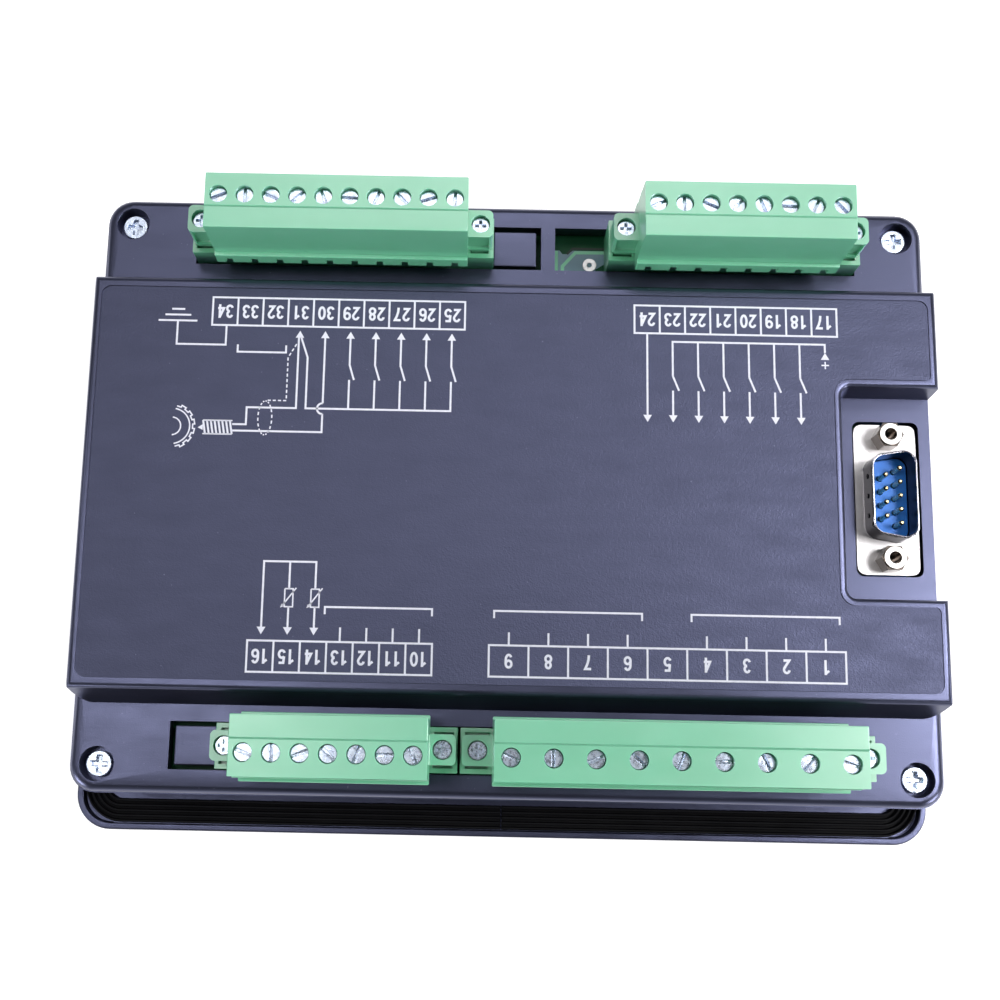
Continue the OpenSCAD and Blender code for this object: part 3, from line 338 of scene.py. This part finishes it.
INK = ink()
BARE_TRACK = moulded("bare_track", srgb(140, 216, 176), srgb(128, 204, 164), 0.45, 0.4, 0.004)
POUR = moulded("copper_pour", srgb(104, 138, 155), srgb(114, 147, 162), 0.4, 0.6, 0.004)
# A dark green line drawn along the copper's upper edge
DARK_LINE = moulded("dark_line", srgb(3, 34, 24), srgb(5, 42, 30), 0.5, 0.4, 0.004)


# Mesh helpers

def add_piece(name, mesh, finish, body=MAIN_BODY):
    """Puts a bmesh into the scene as a piece on a body."""
    data = bpy.data.meshes.new(name)
    mesh.to_mesh(data)
    mesh.free()
    if "custom_normal" in data.attributes:
        data.attributes.remove(data.attributes["custom_normal"])
    data.materials.clear()
    data.materials.append(finish.material)
    piece = bpy.data.objects.new(name, data)
    bpy.context.scene.collection.objects.link(piece)
    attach(piece, body)
    return piece


def shade(mesh, angle):
    """Smooth faces, with a crease along every edge sharper than the angle in degrees."""
    for face in mesh.faces:
        face.smooth = True
    for edge in mesh.edges:
        edge.smooth = edge.calc_face_angle(0.0) < math.radians(angle)


# Finishes and fine edges on the solids

# Metres within which corners are one, degrees up to which faces count as flat, and from which edges crease
WELD = 1e-7
FLAT_ANGLE = 0.4
CREASE_ANGLE = 38

# Solids that are shaded smoothly: radius of their fine edges in millimetres, 0 for none, and the angle
# from which an edge gets one
EDGES = {
    "rear_housing": (0.0, 0),
    "front_bezel": (0.35, 40),
    "rear_label": (0.06, 40),
    "case_screws": (0.18, 50),
    "input_slot_blank": (0.3, 40),
    "sensor_slot_blank": (0.3, 40),
    "board_eyelet": (0.08, 40),
    "flange_screws": (0.0, 0),
    "port_shell": (0.16, 50),
    "port_insulator": (0.12, 50),
    "jackscrews": (0.0, 0),
    "display_window": (0.2, 40),
}
# On blocks only edges above a height, and from a length on, are rounded, both in millimetres
HEADER_TOP, PLUG_TOP, LONG_EDGE = 35.0, 49.0, 0.9
for block in ("input", "output", "sensor", "voltage"):
    EDGES[f"{block}_header"] = (0.16, 50, HEADER_TOP, LONG_EDGE)
    EDGES[f"{block}_plug"] = (0.18, 50, PLUG_TOP, LONG_EDGE)
    EDGES[f"{block}_screws"] = (0.1, 50)
for key in ("stop", "manual", "auto", "test", "start", "up", "down"):
    EDGES[f"key_{key}"] = (0.3, 40)

# Angles between an edge and its neighbours at which rounding would run out along the neighbour
NARROW, STRAIGHT = 60, 150


def roundable(edge, sharp):
    """Whether an edge meets its neighbours squarely enough to be rounded."""
    for face in edge.link_faces:
        for vertex in edge.verts:
            along = edge.other_vert(vertex).co - vertex.co
            for other in vertex.link_edges:
                if other is edge or face not in other.link_faces:
                    continue
                angle = math.degrees(along.angle(other.other_vert(vertex).co - vertex.co))
                if angle < NARROW or (angle > STRAIGHT and other not in sharp):
                    return False
    return True


def round_off(mesh, radius, limit, above, shortest):
    """Rounds the sharp edges of a mesh."""
    flat = math.radians(FLAT_ANGLE)
    bmesh.ops.dissolve_limit(mesh, angle_limit=flat, verts=mesh.verts, edges=mesh.edges)
    sharp = {
        edge for edge in mesh.edges
        if edge.calc_face_angle(0.0) > math.radians(limit)
        and min(v.co.z for v in edge.verts) > above * MM
        and edge.calc_length() > shortest * MM
    }
    chosen = [edge for edge in mesh.edges if edge in sharp and roundable(edge, sharp)]
    bmesh.ops.bevel(
        mesh, geom=chosen, offset=radius * MM, offset_type="OFFSET", segments=2, profile=0.5,
        affect="EDGES", clamp_overlap=False, loop_slide=False,
    )


ANY_HEIGHT = -1.0


def add_skin(node, radius, limit, above=ANY_HEIGHT, shortest=0.0):
    """Replaces a solid by a copy of the same form, shaded smoothly and with its sharp edges rounded."""
    mesh = bmesh.new()
    mesh.from_mesh(frame["nodes"][node].data)
    bmesh.ops.remove_doubles(mesh, verts=mesh.verts, dist=WELD)
    if radius:
        round_off(mesh, radius, limit, above, shortest)
    shade(mesh, CREASE_ANGLE)
    slot = SLOT_OF[node]
    piece = add_piece(f"{node}_skin", mesh, FINISHES[slot], BODY_OF[node])
    normals = piece.modifiers.new("even_normals", "WEIGHTED_NORMAL")
    normals.keep_sharp = True
    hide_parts(node)


for node, solid in frame["nodes"].items():
    solid.data.materials.clear()
    solid.data.materials.append(FINISHES[SLOT_OF[node]].material)
    if node in EDGES:
        add_skin(node, *EDGES[node])


# Print on the label

# Millimetres: thickness of the ink, two widths of a line, and an arrowhead's length and width
INK_T = 0.02
LINE = 0.38
THIN = 0.27
HEAD_L = 1.45
HEAD_W = 1.7

# Digits as strokes in a cell one unit high: width, distance of neighbours, and weight of a stroke.
# Strokes that cross lie a layer apart, in millimetres.
DIGIT_W = 0.55
DIGIT_STEP = 0.61
DIGIT_STROKE = 0.165
INK_LAYER = 0.003


def oval(centre, radii, start, end, steps=20):
    """Points along part of an oval, from one angle to another."""
    turns = [math.radians(start + (end - start) * i / steps) for i in range(steps + 1)]
    return [(centre[0] + radii[0] * math.cos(a), centre[1] + radii[1] * math.sin(a)) for a in turns]


SIX = [
    oval((0.28, 0.31), (0.19, 0.225), 0, 360),
    oval((0.285, 0.6), (0.195, 0.315), 32, 180) + [(0.09, 0.33)],
]
DIGITS = {
    "0": [oval((0.275, 0.5), (0.19, 0.415), 0, 360)],
    "1": [[(0.33, 0.0), (0.33, 1.0)], [(0.33, 0.9), (0.1, 0.72)]],
    "2": [oval((0.275, 0.7), (0.185, 0.215), 172, -30) + [(0.1, 0.085), (0.48, 0.085)]],
    "3": [oval((0.265, 0.71), (0.165, 0.205), 165, -90), oval((0.27, 0.295), (0.19, 0.21), 90, -165)],
    "4": [[(0.5, 0.28), (0.08, 0.28), (0.36, 0.93)], [(0.36, 0.0), (0.36, 1.0)]],
    "5": [[(0.46, 0.915), (0.15, 0.915), (0.112, 0.48)], oval((0.265, 0.33), (0.195, 0.245), 142, -160)],
    "6": SIX,
    "7": [[(0.06, 0.915), (0.46, 0.915), (0.33, 0.63), (0.245, 0.33), (0.215, 0.0)]],
    "8": [oval((0.275, 0.715), (0.16, 0.2), 0, 360), oval((0.275, 0.295), (0.19, 0.21), 0, 360)],
    "9": [[(DIGIT_W - u, 1 - v) for u, v in stroke] for stroke in SIX],
}


class Print:
    """Collects flat ink shapes, given in millimetres on the label, into one thin mesh."""

    def __init__(self, height):
        self.mesh = bmesh.new()
        self.height = height

    def fill(self, points, lift=0.0):
        """One flat shape with these corners."""
        corners = [self.mesh.verts.new((x * MM, y * MM, self.height + lift * MM)) for x, y in points]
        self.mesh.faces.new(corners)

    def line(self, points, width=LINE, lift=0.0):
        """A stroke along the points, with mitred corners and square ends."""
        path = [Vector(p) for p in points]
        sides = []
        for i, point in enumerate(path):
            before = (point - path[i - 1]).normalized() if i else None
            after = (path[i + 1] - point).normalized() if i + 1 < len(path) else None
            along = ((before or after) + (after or before)).normalized()
            across = Vector((-along.y, along.x))
            cos_half = along.dot(after or before)
            offset = across * (width / 2 / cos_half)
            sides.append((point + offset, point - offset))
        for (left, right), (next_left, next_right) in zip(sides, sides[1:]):
            self.fill([left, next_left, next_right, right], lift)

    def dashes(self, points, dash=0.75, gap=0.5, width=THIN):
        """A dashed stroke along the points."""
        for start, end in zip(points, points[1:]):
            start, end = Vector(start), Vector(end)
            length = (end - start).length
            count = max(1, round((length + gap) / (dash + gap)))
            step = (end - start) / count
            for i in range(count):
                at = start + step * i
                self.line([at, at + step * (dash / (dash + gap))], width)

    def arrow(self, tip, down):
        """An arrowhead with its tip at a point, towards -Y where down is set."""
        x, y = tip
        back = y + HEAD_L if down else y - HEAD_L
        self.fill([(x, y), (x - HEAD_W / 2, back), (x + HEAD_W / 2, back)])

    def arc(self, centre, radius, start, end, width=LINE, steps=24, squeeze=1.0):
        """A stroke along part of a circle, or of an oval where squeeze narrows it along X."""
        self.line(oval(centre, (radius * squeeze, radius), start, end, steps), width)

    def cells(self, left, pitch, count, low, high):
        """A row of frames."""
        right = left + pitch * count
        for y in (low, high):
            self.line([(left - LINE / 2, y), (right + LINE / 2, y)])
        for i in range(count + 1):
            x = left + i * pitch
            self.line([(x, low + LINE / 2), (x, high - LINE / 2)])

    def number(self, value, x, y, size):
        """A plain number that reads the right way up from the +Y side."""
        digits = str(value)
        left = -(len(digits) * DIGIT_STEP - DIGIT_STEP + DIGIT_W) / 2
        for i, digit in enumerate(digits):
            for layer, stroke in enumerate(DIGITS[digit]):
                start = left + i * DIGIT_STEP
                points = [(x - size * (start + u), y - size * (v - 0.5)) for u, v in stroke]
                self.line(points, size * DIGIT_STROKE, layer * INK_LAYER)

    def finish(self, name, finish=INK, slot=SLOT_OF["rear_label"]):
        """Gives the shapes their thickness and puts them in the scene."""
        grown = bmesh.ops.extrude_face_region(self.mesh, geom=self.mesh.faces[:], use_keep_orig=True)
        raised = [item for item in grown["geom"] if isinstance(item, bmesh.types.BMVert)]
        bmesh.ops.translate(self.mesh, verts=raised, vec=(0, 0, INK_T * MM))
        bmesh.ops.recalc_face_normals(self.mesh, faces=self.mesh.faces)
        return add_piece(name, self.mesh, finish)


LABEL_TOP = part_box("rear_label")[1].z

# Millimetres: pitches of the poles, edges of the two rows of frames, height of a number, and tips of the
# arrows at the far row
SIGNAL = 5.08
VOLTAGE = 7.62
FAR_LOW, FAR_HIGH = 31.4, 37.2
NEAR_LOW, NEAR_HIGH = -37.6, -31.6
NUMBER_SIZE = 2.85
FAR_TIP = 30.5

# Left end, pitch, number of the first frame, number of frames, and the row's lower and upper edge
STRIPS = {
    "input": (-60.7, SIGNAL, 34, 10, FAR_LOW, FAR_HIGH),
    "output": (24.2, SIGNAL, 24, 8, FAR_LOW, FAR_HIGH),
    "sensor": (-50.5, SIGNAL, 16, 7, NEAR_LOW, NEAR_HIGH),
    "voltage": (-4.0, VOLTAGE, 9, 9, NEAR_LOW, NEAR_HIGH),
}


def frame_x(strip, i):
    """Middle of a strip's frame, counted from its left end."""
    left, pitch = STRIPS[strip][:2]
    return left + (i + 0.5) * pitch


def print_numbers():
    """Plain terminal numbers."""
    sheet = Print(LABEL_TOP)
    for strip, (_, _, first, count, low, high) in STRIPS.items():
        for i in range(count):
            sheet.number(first - i, frame_x(strip, i), (low + high) / 2, NUMBER_SIZE)
    sheet.finish("terminal_numbers")


def print_frames():
    """Frames round the numbers."""
    sheet = Print(LABEL_TOP)
    for left, pitch, _, count, low, high in STRIPS.values():
        sheet.cells(left, pitch, count, low, high)
    sheet.finish("terminal_frames")


def print_earth(sheet):
    """Earth sign with its wire to the first frame."""
    middle, wire_y = -67.6, 27.3
    terminal = frame_x("input", 0) + 0.4
    plates = ((1.3, 34.6), (2.6, 33.4), (3.9, 32.2))
    for half, y in plates:
        sheet.line([(middle - half, y), (middle + half, y)])
    foot = plates[-1][1] - LINE / 2
    sheet.line([(middle, foot), (middle, wire_y), (terminal, wire_y), (terminal, FAR_LOW - LINE / 2)])


def print_bracket(sheet, left, right, y, foot):
    """A bracket round a group of terminals, with feet of a given height."""
    sheet.line([(left, y + foot), (left, y), (right, y), (right, y + foot)])


# Switches of the inputs: their common wire, the ends of a blade, and how far it leans
COMMON_Y = 14.5
BLADE_TOP, BLADE_END, BLADE_OUT = 23.6, 20.5, 0.95


def print_inputs(sheet):
    """Switches between the last five input frames and their common wire."""
    for i in range(5, 10):
        x = frame_x("input", i)
        sheet.arrow((x, FAR_TIP), False)
        sheet.line([(x, FAR_TIP - HEAD_L), (x, BLADE_TOP), (x + BLADE_OUT, BLADE_END)])
        if i < 9:
            sheet.line([(x, BLADE_END), (x, COMMON_Y + LINE / 2)])
    x = frame_x("input", 3)
    last = frame_x("input", 9)
    sheet.arrow((x, FAR_TIP), False)
    sheet.line([(x + 0.3, FAR_TIP - HEAD_L), (x + 1.7, 25.0), (x + 1.7, COMMON_Y), (last, COMMON_Y),
                (last, BLADE_END)])


def print_pickup(sheet):
    """Toothed wheel, coil and screened wires of a speed sensor."""
    shield = (-49.2, 12.4)
    upper, lower, riser = 11.0, 9.7, -52.9
    coil = (-61.4, -55.6, 8.95, 11.7)
    wheel = (-67.6, 10.4)
    x = frame_x("input", 3)
    sheet.line([(x - 0.2, FAR_TIP - HEAD_L), (x - 0.2, COMMON_Y), (riser, COMMON_Y), (riser, upper),
                (coil[1], upper)])
    sheet.dashes([(x - 0.6, 27.7), (x - 2.2, 24.9), (x - 2.2, 16.0), (shield[0], 16.0)])
    for i in range(18):
        sheet.arc(shield, 3.45, i * 20, i * 20 + 11, THIN, steps=3, squeeze=0.4)
    x = frame_x("input", 4)
    hop = 1.1
    sheet.arrow((x, FAR_TIP), False)
    sheet.line([(x, FAR_TIP - HEAD_L), (x, COMMON_Y + hop)])
    sheet.arc((x, COMMON_Y), hop, 90, 270)
    sheet.line([(x, COMMON_Y - hop), (x, lower), (coil[1], lower)])
    left, right, low, high = coil
    turns = 8
    for i in range(turns):
        foot = left + (right - left - 0.5) * i / (turns - 1)
        sheet.line([(foot, high), (foot + 0.5, low)])
    for y in (low, high):
        sheet.line([(left, y), (right, y)], THIN)
    sheet.fill([(left - 1.0, 10.2), (left, 9.7), (left, 10.9)])
    sheet.arc(wheel, 3.6, -80, 80, THIN)
    sheet.arc(wheel, 1.8, -85, 85, THIN)
    teeth, start, step = 13, -78, 12
    rim = []
    for i in range(teeth):
        radius = 4.6 if i % 2 else 4.2
        rim += oval(wheel, (radius, radius), start + i * step, start + (i + 1) * step, 1)
    sheet.line(rim, THIN)


def print_outputs(sheet):
    """Switched outputs with a shared supply bar."""
    bar, drop, foot, tip, out = 29.7, 22.6, 19.6, 13.1, 1.2
    first = frame_x("output", 0)
    sheet.line([(first, FAR_LOW - LINE / 2), (first, tip + HEAD_L)])
    sheet.arrow((first, tip), True)
    left, right = frame_x("output", 1), frame_x("output", 7)
    sheet.line([(left, drop), (left, bar), (right, bar), (right, 28.0)])
    sheet.arrow((right, 28.0), False)
    for i in range(1, 7):
        x = frame_x("output", i)
        if i > 1:
            sheet.line([(x, bar - LINE / 2), (x, drop)])
        sheet.line([(x, drop), (x + out, foot)])
        sheet.line([(x, foot), (x, tip + HEAD_L)])
        sheet.arrow((x, tip), True)
    plus_y, arm = 25.4, 0.75
    sheet.line([(right - arm, plus_y), (right + arm, plus_y)], THIN)
    for way in (-1, 1):
        sheet.line([(right, plus_y + way * THIN / 2), (right, plus_y + way * arm)], THIN)


def print_sensors(sheet):
    """Two variable resistors with a common wire, and the measuring inputs beside them."""
    bar, tip = -16.2, -30.4
    bracket, foot, tick = -24.9, -1.4, -28.8
    box_high, box_low, box_half = -21.5, -25.0, 0.8
    left, right = frame_x("sensor", 0), frame_x("sensor", 2)
    sheet.line([(left, tip + HEAD_L), (left, bar), (right, bar), (right, box_high)])
    middle = frame_x("sensor", 1)
    sheet.line([(middle, bar - LINE / 2), (middle, box_high)])
    for x in (middle, right):
        sheet.line([(x - box_half, box_high), (x + box_half, box_high), (x + box_half, box_low),
                    (x - box_half, box_low), (x - box_half, box_high)], THIN)
        sheet.line([(x, box_low), (x, tip + HEAD_L)])
        sheet.line([(x + 1.4, -21.3), (x - 1.2, -24.8)], THIN)
        sheet.fill([(x - 1.6, -25.2), (x - 0.9, -24.9), (x - 1.3, -24.4)])
    for x in (left, middle, right):
        sheet.arrow((x, tip), True)
    print_bracket(sheet, -35.8, -15.1, bracket, foot)
    for i in range(3, 7):
        x = frame_x("sensor", i)
        sheet.line([(x, tick), (x, NEAR_HIGH + LINE / 2)])


def print_voltages(sheet):
    """Brackets and ticks of the two groups of voltage inputs."""
    bracket, foot, tick = -25.0, -1.4, -29.1
    for first in (0, 5):
        left, right = frame_x("voltage", first) - 2.9, frame_x("voltage", first + 3) + 2.8
        print_bracket(sheet, left, right, bracket, foot)
        for i in range(first, first + 4):
            x = frame_x("voltage", i)
            sheet.line([(x, tick), (x, NEAR_HIGH + LINE / 2)])


def print_diagram():
    """All wiring signs, as one piece of print."""
    sheet = Print(LABEL_TOP)
    print_earth(sheet)
    print_bracket(sheet, -55.3, -45.6, 25.9, 1.5)
    print_inputs(sheet)
    print_pickup(sheet)
    print_outputs(sheet)
    print_sensors(sheet)
    print_voltages(sheet)
    sheet.finish("wiring_diagram")


print_numbers()
print_frames()
print_diagram()


# Copper on the main board, seen through the open slot end

BOARD_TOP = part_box("input_slot_blank")[0].z


def add_tracks():
    """A copper area, a dark line along its upper edge and two tracks."""
    slot = SLOT_OF["main_board"]
    pour = Print(BOARD_TOP)
    pour.fill([(8.0, 47.0), (17.4, 47.0), (17.4, 49.0), (19.6, 50.4), (19.6, 53.1), (12.6, 53.1),
               (11.6, 52.3), (10.4, 52.3), (9.8, 53.1), (8.0, 53.1)])
    pour.finish("board_pour", POUR, slot)
    # A dark line along the copper's upper edge
    edge = Print(BOARD_TOP + INK_T * MM)
    edge.line([(11.4, 52.3), (12.6, 53.55), (19.6, 53.55)], width=0.45)
    edge.finish("board_dark_line", DARK_LINE, slot)
    track = Print(BOARD_TOP + INK_T * MM)
    track.line([(9.15, 47.0), (9.15, 53.0)], width=0.65)
    track.line([(10.4, 47.0), (10.45, 49.6), (13.15, 52.65), (19.6, 52.75)], width=0.72)
    track.finish("board_tracks", BARE_TRACK, slot)


add_tracks()


# Floor, light and camera

FLOOR_GLOW = 0.8


def add_floor():
    """A pale floor that looks white, also in metal and glass, and keeps a faint shadow."""
    size = 6.0
    drop = 0.05 * MM
    mesh = bmesh.new()
    bmesh.ops.create_grid(mesh, x_segments=1, y_segments=1, size=size)
    data = bpy.data.meshes.new("floor")
    mesh.to_mesh(data)
    mesh.free()
    floor = bpy.data.objects.new("floor", data)
    floor.location.z = -drop
    bpy.context.scene.collection.objects.link(floor)
    finish = Finish("floor", (0.5, 0.5, 0.5), 0.9)
    finish.tint(finish.noise(40, 2), (0.52, 0.52, 0.52))
    path = finish.nodes.new("ShaderNodeLightPath")
    seen = path.outputs["Is Camera Ray"]
    for ray in ("Is Glossy Ray", "Is Transmission Ray"):
        either = finish.nodes.new("ShaderNodeMath")
        either.operation = "MAXIMUM"
        finish.links.new(seen, either.inputs[0])
        finish.links.new(path.outputs[ray], either.inputs[1])
        seen = either.outputs["Value"]
    glow = finish.nodes.new("ShaderNodeMath")
    glow.operation = "MULTIPLY"
    glow.inputs[1].default_value = FLOOR_GLOW
    finish.links.new(seen, glow.inputs[0])
    finish.links.new(glow.outputs["Value"], finish.shader.inputs["Emission Strength"])
    finish.set("Emission Color", (1, 1, 1, 1))
    data.materials.append(finish.material)


# Light of walls and ceiling, and the heights, as shares of the way up, between which they blend
WALL_LEVEL = 0.45
CEILING_LEVEL = 0.06
WALL_TOP, CEILING_EDGE = 0.2, 0.8


def add_world():
    """Soft light from pale walls under a dark ceiling, behind a white background."""
    world = bpy.data.worlds.new("studio")
    world.use_nodes = True
    nodes, links = world.node_tree.nodes, world.node_tree.links
    ambient = nodes["Background"]
    ambient.inputs["Color"].default_value = (0.93, 0.96, 1.0, 1)
    place = nodes.new("ShaderNodeTexCoord")
    split = nodes.new("ShaderNodeSeparateXYZ")
    links.new(place.outputs["Generated"], split.inputs["Vector"])
    fade = nodes.new("ShaderNodeMapRange")
    fade.interpolation_type = "SMOOTHSTEP"
    fade.inputs["From Min"].default_value = WALL_TOP
    fade.inputs["From Max"].default_value = CEILING_EDGE
    fade.inputs["To Min"].default_value = WALL_LEVEL
    fade.inputs["To Max"].default_value = CEILING_LEVEL
    links.new(split.outputs["Z"], fade.inputs["Value"])
    links.new(fade.outputs["Result"], ambient.inputs["Strength"])
    white = nodes.new("ShaderNodeBackground")
    white.inputs["Color"].default_value = (1, 1, 1, 1)
    white.inputs["Strength"].default_value = 1.0
    path = nodes.new("ShaderNodeLightPath")
    mix = nodes.new("ShaderNodeMixShader")
    links.new(path.outputs["Is Camera Ray"], mix.inputs["Fac"])
    links.new(ambient.outputs["Background"], mix.inputs[1])
    links.new(white.outputs["Background"], mix.inputs[2])
    links.new(mix.outputs["Shader"], nodes["World Output"].inputs["Surface"])
    bpy.context.scene.world = world


# Point that the lamps face, and each lamp's place, width and depth in metres, with its brightness
AIM = Vector((0, 0, 0.04))
LAMPS = {
    "right_light": ((0.52, 0.0, 0.83), (0.3, 0.3), 17.5),
    "right_far_light": ((0.475, 0.285, 0.81), (0.3, 0.3), 3.3),
    "far_light": ((0.05, 0.44, 0.87), (0.4, 0.22), 3.6),
    "left_far_light": ((-0.24, 0.38, 0.87), (0.2, 0.2), 2.2),
    "left_light": ((-0.57, 0.095, 0.795), (0.3, 0.3), 1.7),
    "left_top_light": ((-0.25, 0.02, 0.96), (0.2, 0.2), 7.0),
    "near_left_light": ((-0.72, -0.55, 0.34), (0.3, 0.3), 12.5),
    "near_right_light": ((0.72, -0.55, 0.34), (0.3, 0.3), 13.5),
}


def add_softbox(name, place, size, radiance):
    """A lamp of a given width and depth in metres, as bright as a white card where radiance is 1."""
    data = bpy.data.lights.new(name, "AREA")
    data.shape = "RECTANGLE"
    data.size, data.size_y = size
    data.energy = radiance * math.pi * data.size * data.size_y
    lamp = bpy.data.objects.new(name, data)
    lamp.location = place
    lamp.rotation_euler = (AIM - Vector(place)).to_track_quat("-Z", "Y").to_euler()
    bpy.context.scene.collection.objects.link(lamp)


# Camera: its place in millimetres and its turn in degrees, its focal length in image widths, and the pixel
# of the optical axis in the picture
IMAGE = 1000
CAMERA_AT = (-8.5, -53.82, 329.93)
CAMERA_TURN = (11.42, -0.04, 1.147)
FOCAL = 1.4449
SENSOR = 36
AXIS_PIXEL = (464.2, 470.6)


def add_camera():
    """The camera of the photograph."""
    data = bpy.data.cameras.new("camera")
    data.sensor_width = SENSOR
    data.lens = FOCAL * SENSOR
    data.shift_x = (IMAGE / 2 - AXIS_PIXEL[0]) / IMAGE
    data.shift_y = (AXIS_PIXEL[1] - IMAGE / 2) / IMAGE
    data.clip_start = 0.01
    camera = bpy.data.objects.new("camera", data)
    camera.location = Vector(CAMERA_AT) * MM
    camera.rotation_euler = [math.radians(a) for a in CAMERA_TURN]
    bpy.context.scene.collection.objects.link(camera)
    bpy.context.scene.camera = camera


add_floor()
add_world()
for lamp_name, lamp in LAMPS.items():
    add_softbox(lamp_name, *lamp)
add_camera()
bpy.context.scene.view_settings.view_transform = "Standard"
